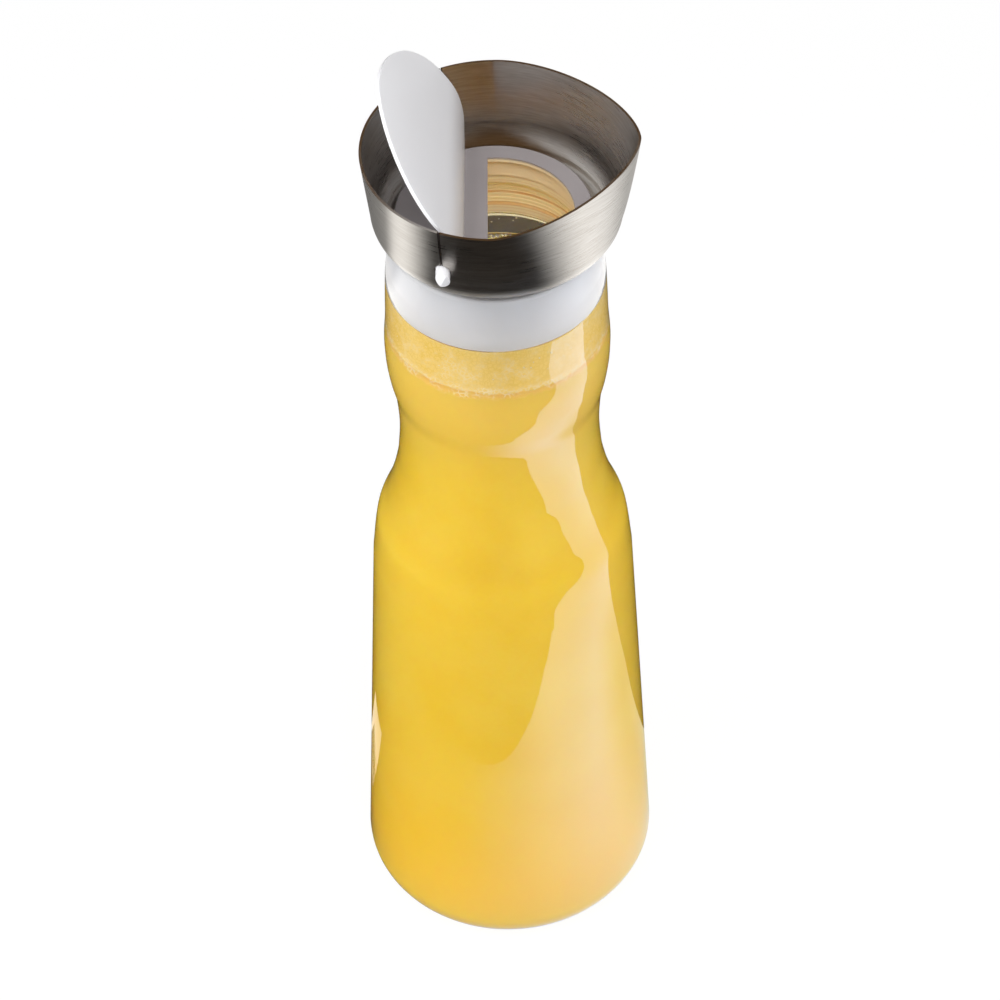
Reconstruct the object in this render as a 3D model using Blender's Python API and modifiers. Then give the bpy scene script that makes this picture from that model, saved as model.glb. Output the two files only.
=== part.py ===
"""Juice carafe: a clear waisted bottle with a push-in pouring head.

The head is a white neck plug with a lip seal, a brushed steel pouring collar
that a snap-in pour plate clamps down on a gasket, and a rocking flap lid that
turns on two stub pins in the collar's wall. Modelled with the flap open.

Frame: metres, +Z up, origin on the floor at the bottle's axis, pouring
towards +X, flap hinge along Y.
"""
import math

import bmesh
import bpy
from mathutils import Matrix, Vector

MM = 0.001

# Shared clearances and mesh fineness
SEAT_GAP = 0.3 * MM
CUT_OVERRUN = 2.0 * MM
MERGE_DISTANCE = 0.001 * MM
TURN_STEPS = 40
SPAN_STEPS = 2
ARC_STEPS = 5
PIN_SIDES = 20

# Bottle, outside
FOOT_RADIUS = 50.0 * MM
FOOT_CORNER = 12.0 * MM
FOOT_RING_WIDTH = 5.0 * MM
PUSH_UP = 3.0 * MM
HIP_HEIGHT = 155.0 * MM
HIP_RADIUS = 43.1 * MM
SHOULDER_RISE = 61.0 * MM
WAIST_DEPTH = 3.6 * MM
BULGE_RISE = 37.0 * MM
BULGE_SWELL = 2.0 * MM
THROAT_RISE = 34.5 * MM
MOUTH_RISE = 11.7 * MM
MOUTH_RADIUS = 33.8 * MM
MOUTH_ROUND = 0.3 * MM
# Each pair is a share of the rise and a share of the change in radius.
shoulder_shares = ((0.25, 0.165), (0.42, 0.50), (0.585, 0.75), (0.76, 0.92))
neck_shares = ((0.36, 0.20), (0.62, 0.70), (0.82, 0.94))
throat_shares = ((0.30, 0.33), (0.60, 0.50), (0.84, 0.70))
dome_shares = ((1.0, 0.0), (0.8, 0.36), (0.5, 0.75), (0.0, 1.0))

# Bottle, inside
BODY_WALL = 2.0 * MM
BASE_WALL = 2.4 * MM
NECK_WALL = 1.2 * MM
BORE_DEPTH = 27.6 * MM
BORE_LEAD = 7.0 * MM

# Neck plug, which fits the bore
SKIRT_CLEARANCE = 0.4 * MM
SKIRT_DEPTH = 21.3 * MM
FLANGE_HEIGHT = 1.2 * MM
FLANGE_ROUND = 0.3 * MM
PLUG_WALL = 2.5 * MM
LEDGE_STEP = 0.8 * MM
LEDGE_HEIGHT = 3.3 * MM
FOOT_BAND_STEP = 0.5 * MM
FOOT_BAND_HEIGHT = 3.6 * MM
GROOVE_DEPTH = 2.6 * MM

# Lip seal, pressed into the groove under the skirt
TONGUE_INSET = 0.6 * MM
TONGUE_WIDTH = 0.8 * MM
TONGUE_HEIGHT = 2.2 * MM
SEAL_BODY_HEIGHT = 1.2 * MM
LIP_DROP = 2.2 * MM
LIP_WALL = 0.7 * MM

# Collar gasket, in the recess on top of the plug
GASKET_INSET = 1.1 * MM
GASKET_WIDTH = 1.4 * MM
GASKET_THICKNESS = 1.0 * MM

# Steel pouring collar
SHEET = 0.8 * MM
FLOOR_HOLE_INSET = 1.7 * MM
FLOOR_WIDTH = 1.6 * MM
FILLET_RADIUS = 8.5 * MM
REAR_FLARE = 2.4 * MM
REAR_RIM_HEIGHT = 30.9 * MM
LIP_OVERHANG = 4.5 * MM
LIP_SWELL = 1.8 * MM
LIP_RISE = 3.4 * MM
LIP_SQUARENESS = 1.6
lip_bulge_share = 0.3
SLIT_WIDTH = 0.65 * MM
COLLAR_SIDES = 72
WALL_RINGS = 5
FILLET_RINGS = 6

# Pour plate
PLATE_OVERLAP = 2.7 * MM
PLATE_HEIGHT = 3.4 * MM
PLATE_THICKNESS = 1.8 * MM
PLATE_EDGE = 0.4 * MM
SPIGOT_WALL = 1.0 * MM
SPIGOT_DEPTH = 5.6 * MM
SNAP_BEAD = 0.4 * MM
SNAP_HEIGHT = 1.2 * MM
SNAP_DROP = 3.2 * MM
OPENING_INSET = 1.8 * MM
OPENING_EDGE_X = -2.0 * MM

# Flap lid, measured in its closed pose
FLAP_THICKNESS = 1.1 * MM
FLAP_FRONT_GAP = 6.8 * MM
FLAP_SIDE_GAP = 2.1 * MM
FLAP_REAR_FULLNESS = 0.5 * MM
FLAP_SQUARENESS = 1.8
FLAP_BEND_X = -12.5 * MM
FLAP_BEND_RADIUS = 12.0 * MM
FLAP_TAIL_LENGTH = 13.8 * MM
# Open, the flap leans past upright and its tail stands upright.
FLAP_OPEN_ANGLE = math.radians(123.3)
FLAP_BEND_ANGLE = FLAP_OPEN_ANGLE - math.radians(90.0)
FLAP_TIP_ROWS = 16
HINGE_X = -15.2 * MM
HINGE_RISE = 9.4 * MM
EAR_INSET = 3.0 * MM
EAR_WIDTH = 1.8 * MM
EAR_RADIUS = 3.4 * MM
EAR_SPREAD = 7.5 * MM
PIN_RADIUS = 2.2 * MM
PIN_CLEARANCE = 0.3 * MM
PIN_INSET = 0.6 * MM
PIN_CHAMFER = 0.5 * MM

# Heights up the bottle, and what stands on its mouth
WAIST_HEIGHT = HIP_HEIGHT + SHOULDER_RISE
BULGE_HEIGHT = WAIST_HEIGHT + BULGE_RISE
THROAT_HEIGHT = BULGE_HEIGHT + THROAT_RISE
MOUTH_HEIGHT = THROAT_HEIGHT + MOUTH_RISE
FLANGE_BOTTOM = MOUTH_HEIGHT + SEAT_GAP
FLANGE_TOP = FLANGE_BOTTOM + FLANGE_HEIGHT
SKIRT_BOTTOM = FLANGE_BOTTOM - SKIRT_DEPTH
COLLAR_BOTTOM = FLANGE_TOP + SEAT_GAP
COLLAR_FLOOR = COLLAR_BOTTOM + SHEET
FILLET_CENTRE_HEIGHT = COLLAR_BOTTOM + FILLET_RADIUS
PLATE_BOTTOM = COLLAR_FLOOR + SEAT_GAP
PLATE_TOP = PLATE_BOTTOM + PLATE_HEIGHT
SPIGOT_BOTTOM = PLATE_BOTTOM - SPIGOT_DEPTH
HINGE_HEIGHT = PLATE_TOP + HINGE_RISE

# Radii that follow the bottle's mouth, from the neck inwards
BULGE_RADIUS = MOUTH_RADIUS + BULGE_SWELL
WAIST_RADIUS = BULGE_RADIUS - WAIST_DEPTH
BORE_RADIUS = MOUTH_RADIUS - NECK_WALL
SKIRT_RADIUS = BORE_RADIUS - SKIRT_CLEARANCE
TUBE_RADIUS = SKIRT_RADIUS - PLUG_WALL
FOOT_BAND_RADIUS = TUBE_RADIUS - FOOT_BAND_STEP
SEAL_INNER_RADIUS = FOOT_BAND_RADIUS + SEAT_GAP
TONGUE_RADIUS = TUBE_RADIUS + TONGUE_INSET
FLOOR_HOLE_RADIUS = TUBE_RADIUS - FLOOR_HOLE_INSET
GASKET_INNER_RADIUS = FLOOR_HOLE_RADIUS + GASKET_INSET
SPIGOT_RADIUS = FLOOR_HOLE_RADIUS - SEAT_GAP
SPIGOT_INNER_RADIUS = SPIGOT_RADIUS - SPIGOT_WALL
OPENING_RADIUS = SPIGOT_INNER_RADIUS - OPENING_INSET
PLATE_RADIUS = FLOOR_HOLE_RADIUS + PLATE_OVERLAP

# Reaches that follow the collar's floor, from its fillet out to the lip
FILLET_CENTRE_RADIUS = FLOOR_HOLE_RADIUS + FLOOR_WIDTH
WALL_RADIUS = FILLET_CENTRE_RADIUS + FILLET_RADIUS
REAR_RIM_RADIUS = WALL_RADIUS + REAR_FLARE
LIP_REACH = REAR_RIM_RADIUS + LIP_OVERHANG
FLAP_FRONT_REACH = WALL_RADIUS - FLAP_FRONT_GAP
FLAP_HALF_WIDTH = WALL_RADIUS - SHEET - FLAP_SIDE_GAP
FLAP_REAR_REACH = REAR_RIM_RADIUS + FLAP_REAR_FULLNESS
EAR_FACE = FLAP_HALF_WIDTH - EAR_INSET
PIN_END = REAR_RIM_RADIUS - PIN_INSET


def clear_scene():
    """Remove whatever the opened file holds."""
    for old in list(bpy.data.objects):
        bpy.data.objects.remove(old, do_unlink=True)


def new_collection(name):
    """A collection linked to the scene."""
    group = bpy.data.collections.new(name)
    bpy.context.scene.collection.children.link(group)
    return group


def new_material(name, colour, roughness, metallic=0.0, alpha=1.0):
    """A plain Principled material."""
    material = bpy.data.materials.new(name)
    material.use_nodes = True
    shader = material.node_tree.nodes["Principled BSDF"]
    shader.inputs["Base Color"].default_value = (*colour, 1.0)
    shader.inputs["Roughness"].default_value = roughness
    shader.inputs["Metallic"].default_value = metallic
    shader.inputs["Alpha"].default_value = alpha
    return material


def add_part(name, mesh, material, group):
    """Put a mesh into the model as one named sub-part."""
    part = bpy.data.objects.new(name, mesh)
    part.data.materials.append(material)
    group.objects.link(part)
    return part


def add_tool(name, shape, group):
    """Turn a bmesh into a hidden cutter or boss for a Boolean."""
    mesh = bpy.data.meshes.new(name)
    shape.to_mesh(mesh)
    shape.free()
    tool = bpy.data.objects.new(name, mesh)
    tool.display_type = "WIRE"
    tool.hide_render = True
    group.objects.link(tool)
    return tool


def add_boolean(part, tool, operation):
    """Cut a tool from a part, or join it on."""
    modifier = part.modifiers.new(tool.name, "BOOLEAN")
    modifier.operation = operation
    modifier.solver = "EXACT"
    modifier.object = tool


def add_turned(name, outline, material, group, closed=True):
    """Turn an outline of (radius, height) points about Z.

    The outline runs down its outer side. A closed outline makes a ring, and
    an open one starts and ends on the axis.
    """
    mesh = bpy.data.meshes.new(name)
    points = [(radius, 0.0, height) for radius, height in outline]
    edges = [(i, i + 1) for i in range(len(points) - 1)]
    if closed:
        edges.append((len(points) - 1, 0))
    mesh.from_pydata(points, edges, [])
    part = add_part(name, mesh, material, group)
    turn = part.modifiers.new("turn", "SCREW")
    turn.axis = "Z"
    turn.angle = math.tau
    turn.steps = TURN_STEPS
    turn.render_steps = TURN_STEPS
    turn.use_merge_vertices = True
    turn.merge_threshold = MERGE_DISTANCE
    turn.use_smooth_shade = True
    return part


def arc(centre, radius, start, end, steps=ARC_STEPS):
    """Points on an arc of a profile, angles in degrees from +radius to +Z."""
    points = []
    for i in range(steps + 1):
        angle = math.radians(start + (end - start) * i / steps)
        across = centre[0] + radius * math.cos(angle)
        up = centre[1] + radius * math.sin(angle)
        points.append((across, up))
    return points


def between(low, high, shares):
    """Stations between two (radius, height) ends, placed by pairs of shares."""
    stations = []
    for rise, change in shares:
        radius = low[0] + (high[0] - low[0]) * change
        height = low[1] + (high[1] - low[1]) * rise
        stations.append((radius, height))
    return stations


def station_slopes(stations):
    """Slope of radius over height at each station, so the curve never overshoots."""
    chords = []
    for (low_r, low_z), (high_r, high_z) in zip(stations, stations[1:]):
        chords.append((high_r - low_r) / (high_z - low_z))
    slopes = [chords[0]]
    for before, after in zip(chords, chords[1:]):
        if before * after <= 0.0:
            slopes.append(0.0)
        else:
            slopes.append(2.0 * before * after / (before + after))
    slopes.append(chords[-1])
    return slopes


def smooth_through(stations):
    """A smooth outline through (radius, height) stations, lowest first."""
    slopes = station_slopes(stations)
    points = [stations[0]]
    for i in range(len(stations) - 1):
        (low_r, low_z), (high_r, high_z) = stations[i], stations[i + 1]
        rise = high_z - low_z
        for step in range(1, SPAN_STEPS + 1):
            t = step / SPAN_STEPS
            radius = (
                low_r * (1.0 + 2.0 * t) * (1.0 - t) ** 2
                + rise * slopes[i] * t * (1.0 - t) ** 2
                + high_r * t * t * (3.0 - 2.0 * t)
                + rise * slopes[i + 1] * t * t * (t - 1.0)
            )
            points.append((radius, low_z + rise * t))
    return points


def bottle_side():
    """The bottle's outside from the top of its foot corner to its mouth."""
    hip = (HIP_RADIUS, HIP_HEIGHT)
    waist = (WAIST_RADIUS, WAIST_HEIGHT)
    bulge = (BULGE_RADIUS, BULGE_HEIGHT)
    throat = (MOUTH_RADIUS, THROAT_HEIGHT)
    mouth = (MOUTH_RADIUS, MOUTH_HEIGHT - MOUTH_ROUND)
    upper = [hip, *between(hip, waist, shoulder_shares)]
    upper += [waist, *between(waist, bulge, neck_shares)]
    upper += [bulge, *between(bulge, throat, throat_shares), throat]
    return [(FOOT_RADIUS, FOOT_CORNER), *smooth_through(upper), mouth]


def dome(rim_radius, rim_height, rise):
    """The low dome of the base, from its rim to the axis."""
    return [(rim_radius * out, rim_height + rise * up) for out, up in dome_shares]


def bottle_outline():
    """From the middle of the floor, up the inside, down the outside, under the foot."""
    side = bottle_side()
    corner_radius = FOOT_RADIUS - FOOT_CORNER
    corner_centre = (corner_radius, FOOT_CORNER)
    ring_inner = corner_radius - FOOT_RING_WIDTH
    inside = dome(ring_inner, BASE_WALL, PUSH_UP)[::-1]
    wall_radius = FOOT_CORNER - BODY_WALL
    inner_centre = (corner_radius, BASE_WALL + wall_radius)
    inside += arc(inner_centre, wall_radius, -90.0, 0.0)
    bore_bottom = MOUTH_HEIGHT - BORE_DEPTH
    for radius, height in side[1:]:
        if height < bore_bottom - BORE_LEAD:
            inside.append((radius - BODY_WALL, height))
    inside.append((BORE_RADIUS, bore_bottom))
    inside.append((BORE_RADIUS, MOUTH_HEIGHT - MOUTH_ROUND))
    inside.append((BORE_RADIUS + MOUTH_ROUND, MOUTH_HEIGHT))
    outside = [(MOUTH_RADIUS - MOUTH_ROUND, MOUTH_HEIGHT), *side[:0:-1]]
    outside += arc(corner_centre, FOOT_CORNER, 0.0, -90.0, ARC_STEPS + 2)
    outside += dome(ring_inner, 0.0, PUSH_UP)
    return inside + outside


def make_bottle(material, group):
    """The clear bottle: straight taper, waist, bulged neck and plain mouth."""
    return add_turned("bottle", bottle_outline(), material, group, closed=False)


def plug_outline():
    """The plug's section: flange, skirt, seal groove, tube and snap socket."""
    recess_outer = GASKET_INNER_RADIUS + GASKET_WIDTH + SEAT_GAP
    recess_inner = GASKET_INNER_RADIUS - SEAT_GAP
    recess_floor = FLANGE_TOP - GASKET_THICKNESS - SEAT_GAP
    groove_inner = TONGUE_RADIUS - SEAT_GAP
    groove_outer = TONGUE_RADIUS + TONGUE_WIDTH + SEAT_GAP
    groove_top = SKIRT_BOTTOM + GROOVE_DEPTH
    socket_radius = SPIGOT_RADIUS + SEAT_GAP
    ledge_radius = socket_radius - LEDGE_STEP
    ledge_top = SPIGOT_BOTTOM - SEAT_GAP
    ledge_bottom = ledge_top - LEDGE_HEIGHT
    band_top = SKIRT_BOTTOM + FOOT_BAND_HEIGHT
    snap_radius = socket_radius + SNAP_BEAD
    snap_top = PLATE_BOTTOM - SNAP_DROP + SEAT_GAP
    snap_bottom = snap_top - SNAP_HEIGHT - SEAT_GAP - SEAT_GAP
    return [
        (recess_outer, FLANGE_TOP),
        (MOUTH_RADIUS - FLANGE_ROUND, FLANGE_TOP),
        (MOUTH_RADIUS, FLANGE_TOP - FLANGE_ROUND),
        (MOUTH_RADIUS, FLANGE_BOTTOM + FLANGE_ROUND),
        (MOUTH_RADIUS - FLANGE_ROUND, FLANGE_BOTTOM),
        (SKIRT_RADIUS, FLANGE_BOTTOM),
        (SKIRT_RADIUS, SKIRT_BOTTOM),
        (groove_outer, SKIRT_BOTTOM),
        (groove_outer, groove_top),
        (groove_inner, groove_top),
        (groove_inner, SKIRT_BOTTOM),
        (FOOT_BAND_RADIUS, SKIRT_BOTTOM),
        (FOOT_BAND_RADIUS, band_top),
        (TUBE_RADIUS, band_top + FOOT_BAND_STEP),
        (TUBE_RADIUS, ledge_bottom - (TUBE_RADIUS - ledge_radius)),
        (ledge_radius, ledge_bottom),
        (ledge_radius, ledge_top),
        (socket_radius, ledge_top),
        (socket_radius, snap_bottom - SNAP_BEAD),
        (snap_radius, snap_bottom),
        (snap_radius, snap_top),
        (socket_radius, snap_top + SNAP_BEAD),
        (socket_radius, FLANGE_TOP),
        (recess_inner, FLANGE_TOP),
        (recess_inner, recess_floor),
        (recess_outer, recess_floor),
    ]


def make_plug(material, group):
    """The white plug that stands on the bottle's mouth and reaches into its bore."""
    return add_turned("neck_plug", plug_outline(), material, group)


def make_lip_seal(material, group):
    """The silicone seal: a tongue, a flat ring and one lip that wipes the bore."""
    top = SKIRT_BOTTOM - SEAT_GAP
    underside = top - SEAL_BODY_HEIGHT
    lip_radius = BORE_RADIUS - SEAT_GAP
    tongue_top = top + TONGUE_HEIGHT
    tongue_outer = TONGUE_RADIUS + TONGUE_WIDTH
    outline = [
        (TONGUE_RADIUS, tongue_top),
        (tongue_outer, tongue_top),
        (tongue_outer, top),
        (lip_radius - LIP_WALL, top),
        (lip_radius, underside - LIP_DROP),
        (lip_radius - LIP_WALL, underside - LIP_DROP),
        (lip_radius - LIP_WALL - LIP_WALL, underside),
        (SEAL_INNER_RADIUS, underside),
        (SEAL_INNER_RADIUS, top),
        (TONGUE_RADIUS, top),
    ]
    return add_turned("lip_seal", outline, material, group)


def make_gasket(material, group):
    """The flat gasket under the collar's floor."""
    top = FLANGE_TOP
    bottom = top - GASKET_THICKNESS
    outer = GASKET_INNER_RADIUS + GASKET_WIDTH
    outline = [
        (outer, top),
        (outer, bottom),
        (GASKET_INNER_RADIUS, bottom),
        (GASKET_INNER_RADIUS, top),
    ]
    return add_turned("collar_gasket", outline, material, group)


def rim_point(angle):
    """The collar's rim in plan: a half circle behind, a blunt point in front."""
    reach = LIP_REACH if math.cos(angle) > 0.0 else REAR_RIM_RADIUS
    power = LIP_SQUARENESS if math.cos(angle) > 0.0 else 2.0
    across = abs(math.cos(angle)) ** (2.0 / power)
    along = abs(math.sin(angle)) ** (2.0 / power)
    x = math.copysign(reach * across, math.cos(angle))
    y = math.copysign(REAR_RIM_RADIUS * along, math.sin(angle))
    rise = LIP_RISE * max(x, 0.0) / LIP_REACH
    return Vector((x, y, COLLAR_BOTTOM + REAR_RIM_HEIGHT + rise))


def round_point(radius, height, bearing):
    """A place given by its radius, height and bearing about the bottle's axis."""
    return Vector((radius * math.cos(bearing), radius * math.sin(bearing), height))


def collar_rings():
    """Rings of the collar's outer skin, from the floor hole to the rim."""
    rims = [rim_point(math.tau * i / COLLAR_SIDES) for i in range(COLLAR_SIDES)]
    bearings = [math.atan2(rim.y, rim.x) for rim in rims]
    rings = [[round_point(FLOOR_HOLE_RADIUS, COLLAR_BOTTOM, bearing) for bearing in bearings]]
    centre = (FILLET_CENTRE_RADIUS, FILLET_CENTRE_HEIGHT)
    for radius, height in arc(centre, FILLET_RADIUS, -90.0, 0.0, FILLET_RINGS):
        ring = []
        for bearing in bearings:
            swell = LIP_SWELL * max(math.cos(bearing), 0.0) ** 2
            ring.append(round_point(radius + swell, height, bearing))
        rings.append(ring)
    base = rings[-1]
    for step in range(1, WALL_RINGS + 1):
        share = step / WALL_RINGS
        rings.append([wall_point(low, rim, share) for low, rim in zip(base, rims)])
    return rings


def wall_point(low, rim, share):
    """A place on the flared wall, which is fuller below the lip."""
    fullness = 1.0 - lip_bulge_share * max(rim.x, 0.0) / LIP_REACH
    point = low.lerp(rim, share ** fullness)
    point.z = low.z + (rim.z - low.z) * share
    return point


def make_collar(material, group, tools):
    """The steel collar: a dished floor, a flared wall, a lip, two slit pin holes."""
    shape = bmesh.new()
    rings = [[shape.verts.new(point) for point in ring] for ring in collar_rings()]
    for low, high in zip(rings, rings[1:]):
        for i in range(COLLAR_SIDES):
            j = (i + 1) % COLLAR_SIDES
            shape.faces.new((low[i], low[j], high[j], high[i]))
    mesh = bpy.data.meshes.new("pour_collar")
    shape.to_mesh(mesh)
    shape.free()
    mesh.shade_smooth()
    collar = add_part("pour_collar", mesh, material, group)
    sheet = collar.modifiers.new("sheet", "SOLIDIFY")
    sheet.thickness = SHEET
    sheet.offset = -1.0
    sheet.use_even_offset = True
    add_boolean(collar, pin_hole_cutter(tools), "DIFFERENCE")
    for side in (-1.0, 1.0):
        add_boolean(collar, slit_cutter(side, tools), "DIFFERENCE")
    return collar


def pin_hole_cutter(tools):
    """One long round cutter for both pin holes, along the hinge."""
    shape = bmesh.new()
    turn = Matrix.Rotation(math.radians(90.0), 4, "X")
    place = Matrix.Translation((HINGE_X, 0.0, HINGE_HEIGHT)) @ turn
    radius = PIN_RADIUS + PIN_CLEARANCE
    length = 2.0 * (REAR_RIM_RADIUS + CUT_OVERRUN)
    bmesh.ops.create_cone(
        shape, cap_ends=True, segments=PIN_SIDES, radius1=radius, radius2=radius,
        depth=length, matrix=place,
    )
    return add_tool("pin_hole_cutter", shape, tools)


def slit_cutter(side, tools):
    """A thin upright cutter from a pin hole to the rim, square to the wall."""
    hinge_y = math.sqrt(WALL_RADIUS ** 2 - HINGE_X ** 2)
    bearing = math.atan2(side * hinge_y, HINGE_X)
    rim_height = COLLAR_BOTTOM + REAR_RIM_HEIGHT + CUT_OVERRUN
    height = rim_height - HINGE_HEIGHT
    depth = 2.0 * (REAR_RIM_RADIUS - WALL_RADIUS + SHEET + CUT_OVERRUN)
    shape = bmesh.new()
    size = Matrix.Diagonal((depth, SLIT_WIDTH, height, 1.0))
    place = Matrix.Translation((WALL_RADIUS, 0.0, HINGE_HEIGHT + height / 2.0))
    turn = Matrix.Rotation(bearing, 4, "Z")
    bmesh.ops.create_cube(shape, size=1.0, matrix=turn @ place @ size)
    name = "slit_cutter_front" if side < 0.0 else "slit_cutter_back"
    return add_tool(name, shape, tools)


def make_pour_plate(material, group, tools):
    """The plate with its D-shaped pouring hole and the spigot that snaps home."""
    underside = PLATE_TOP - PLATE_THICKNESS
    snap_top = PLATE_BOTTOM - SNAP_DROP
    snap_radius = SPIGOT_RADIUS + SNAP_BEAD
    snap_bottom = snap_top - SNAP_HEIGHT
    outline = [
        (0.0, PLATE_TOP),
        (PLATE_RADIUS - PLATE_EDGE, PLATE_TOP),
        (PLATE_RADIUS, PLATE_TOP - PLATE_EDGE),
        (PLATE_RADIUS, PLATE_BOTTOM),
        (SPIGOT_RADIUS, PLATE_BOTTOM),
        (SPIGOT_RADIUS, snap_top + SNAP_BEAD),
        (snap_radius, snap_top),
        (snap_radius, snap_bottom),
        (SPIGOT_RADIUS, snap_bottom - SNAP_BEAD),
        (SPIGOT_RADIUS, SPIGOT_BOTTOM),
        (SPIGOT_INNER_RADIUS, SPIGOT_BOTTOM),
        (SPIGOT_INNER_RADIUS, underside),
        (0.0, underside),
    ]
    plate = add_turned("pour_plate", outline, material, group, closed=False)
    add_boolean(plate, opening_cutter(tools), "DIFFERENCE")
    return plate


def opening_cutter(tools):
    """A D-shaped cutter: a cylinder with its rear part sliced off."""
    shape = bmesh.new()
    depth = 2.0 * (PLATE_THICKNESS + CUT_OVERRUN)
    bmesh.ops.create_cone(
        shape, cap_ends=True, segments=TURN_STEPS, radius1=OPENING_RADIUS,
        radius2=OPENING_RADIUS, depth=depth,
        matrix=Matrix.Translation((0.0, 0.0, PLATE_TOP)),
    )
    parts = shape.verts[:] + shape.edges[:] + shape.faces[:]
    cut = bmesh.ops.bisect_plane(
        shape, geom=parts, plane_co=(OPENING_EDGE_X, 0.0, 0.0),
        plane_no=(-1.0, 0.0, 0.0), clear_outer=True,
    )
    edges = [item for item in cut["geom_cut"] if isinstance(item, bmesh.types.BMEdge)]
    bmesh.ops.contextual_create(shape, geom=edges)
    bmesh.ops.recalc_face_normals(shape, faces=shape.faces[:])
    return add_tool("opening_cutter", shape, tools)


def flap_half_width(x):
    """Half of the flap's width in plan at a place behind its widest line."""
    return FLAP_HALF_WIDTH * math.sqrt(1.0 - (x / FLAP_REAR_REACH) ** 2)


def flap_underside():
    """Rows of (x, half width, z) over the closed flap's underside, tail to tip."""
    level = PLATE_TOP + SEAT_GAP
    tangent = FLAP_BEND_RADIUS * math.tan(FLAP_BEND_ANGLE / 2.0)
    rows = []
    for along in (FLAP_TAIL_LENGTH, (FLAP_TAIL_LENGTH + tangent) / 2.0):
        x = FLAP_BEND_X - along * math.cos(FLAP_BEND_ANGLE)
        rows.append((x, flap_half_width(x), level + along * math.sin(FLAP_BEND_ANGLE)))
    for i in range(ARC_STEPS + 1):
        turn = FLAP_BEND_ANGLE * (1.0 - i / ARC_STEPS)
        x = FLAP_BEND_X + tangent - FLAP_BEND_RADIUS * math.sin(turn)
        z = level + FLAP_BEND_RADIUS * (1.0 - math.cos(turn))
        rows.append((x, flap_half_width(x), z))
    rows.append(((FLAP_BEND_X + tangent) / 2.0, flap_half_width((FLAP_BEND_X + tangent) / 2.0), level))
    for i in range(FLAP_TIP_ROWS):
        angle = math.radians(90.0) * i / FLAP_TIP_ROWS
        x = FLAP_FRONT_REACH * math.sin(angle) ** (2.0 / FLAP_SQUARENESS)
        half_width = FLAP_HALF_WIDTH * math.cos(angle) ** (2.0 / FLAP_SQUARENESS)
        rows.append((x, half_width, level))
    return rows


def flap_mesh():
    """The flap's underside as an open sheet about the hinge, facing down."""
    shape = bmesh.new()
    origin = Vector((HINGE_X, 0.0, HINGE_HEIGHT))
    pairs = []
    for x, half_width, z in flap_underside():
        front = shape.verts.new(Vector((x, -half_width, z)) - origin)
        back = shape.verts.new(Vector((x, half_width, z)) - origin)
        pairs.append((front, back))
    for (front, back), (next_front, next_back) in zip(pairs, pairs[1:]):
        shape.faces.new((front, back, next_back, next_front))
    tip = shape.verts.new(Vector((FLAP_FRONT_REACH, 0.0, PLATE_TOP + SEAT_GAP)) - origin)
    shape.faces.new((pairs[-1][0], pairs[-1][1], tip))
    mesh = bpy.data.meshes.new("flap_lid")
    shape.to_mesh(mesh)
    shape.free()
    mesh.shade_smooth()
    mesh.set_sharp_from_angle(angle=FLAP_BEND_ANGLE)
    return mesh


def make_flap(material, group, tools):
    """The rocking flap: a bent sheet with an ear and a stub pin on each side."""
    flap = add_part("flap_lid", flap_mesh(), material, group)
    flap.location = (HINGE_X, 0.0, HINGE_HEIGHT)
    flap.rotation_euler = (0.0, -FLAP_OPEN_ANGLE, 0.0)
    sheet = flap.modifiers.new("sheet", "SOLIDIFY")
    sheet.thickness = FLAP_THICKNESS
    sheet.offset = -1.0
    sheet.use_even_offset = True
    for side in (-1.0, 1.0):
        for tool in (ear_boss(side, tools), stub_pin(side, tools)):
            tool.parent = flap
            add_boolean(flap, tool, "UNION")
    return flap


def ear_boss(side, tools):
    """A gusset on the flap's upper side that carries a stub pin."""
    middle = FLAP_THICKNESS / 2.0
    level = SEAT_GAP - HINGE_RISE
    bend_x = FLAP_BEND_X - HINGE_X
    normal_x = math.sin(FLAP_BEND_ANGLE) * middle
    normal_z = math.cos(FLAP_BEND_ANGLE) * middle
    tail_x = bend_x - EAR_SPREAD * math.cos(FLAP_BEND_ANGLE) + normal_x
    tail_z = level + EAR_SPREAD * math.sin(FLAP_BEND_ANGLE) + normal_z
    bend_rise = FLAP_BEND_RADIUS * (1.0 / math.cos(FLAP_BEND_ANGLE / 2.0) - 1.0)
    feet = [
        (tail_x, tail_z),
        (bend_x, level + bend_rise + middle),
        (bend_x + EAR_SPREAD, level + middle),
    ]
    boss = arc((0.0, 0.0), EAR_RADIUS, 0.0, 360.0, PIN_SIDES)[:-1]
    shape = bmesh.new()
    for y in (side * EAR_FACE, side * (EAR_FACE - EAR_WIDTH)):
        for x, z in feet + boss:
            shape.verts.new((x, y, z))
    hull = bmesh.ops.convex_hull(shape, input=shape.verts[:])
    bmesh.ops.delete(shape, geom=hull["geom_interior"], context="VERTS")
    name = "ear_front" if side < 0.0 else "ear_back"
    return add_tool(name, shape, tools)


def stub_pin(side, tools):
    """A round pin from inside an ear, out through the collar's wall to just short of its rim."""
    root = EAR_FACE - EAR_WIDTH / 2.0
    turn = Matrix.Rotation(math.radians(-90.0) * side, 4, "X")
    place = Matrix.Translation((0.0, side * (root + PIN_END) / 2.0, 0.0)) @ turn
    shape = bmesh.new()
    bmesh.ops.create_cone(
        shape, cap_ends=True, segments=PIN_SIDES, radius1=PIN_RADIUS, radius2=PIN_RADIUS,
        depth=PIN_END - root, matrix=place,
    )
    shape.verts.ensure_lookup_table()
    tip = [edge for edge in shape.edges if all(side * v.co.y > root + EAR_WIDTH for v in edge.verts)]
    bmesh.ops.bevel(shape, geom=tip, offset=PIN_CHAMFER, segments=1, affect="EDGES")
    name = "pin_front" if side < 0.0 else "pin_back"
    return add_tool(name, shape, tools)


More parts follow.
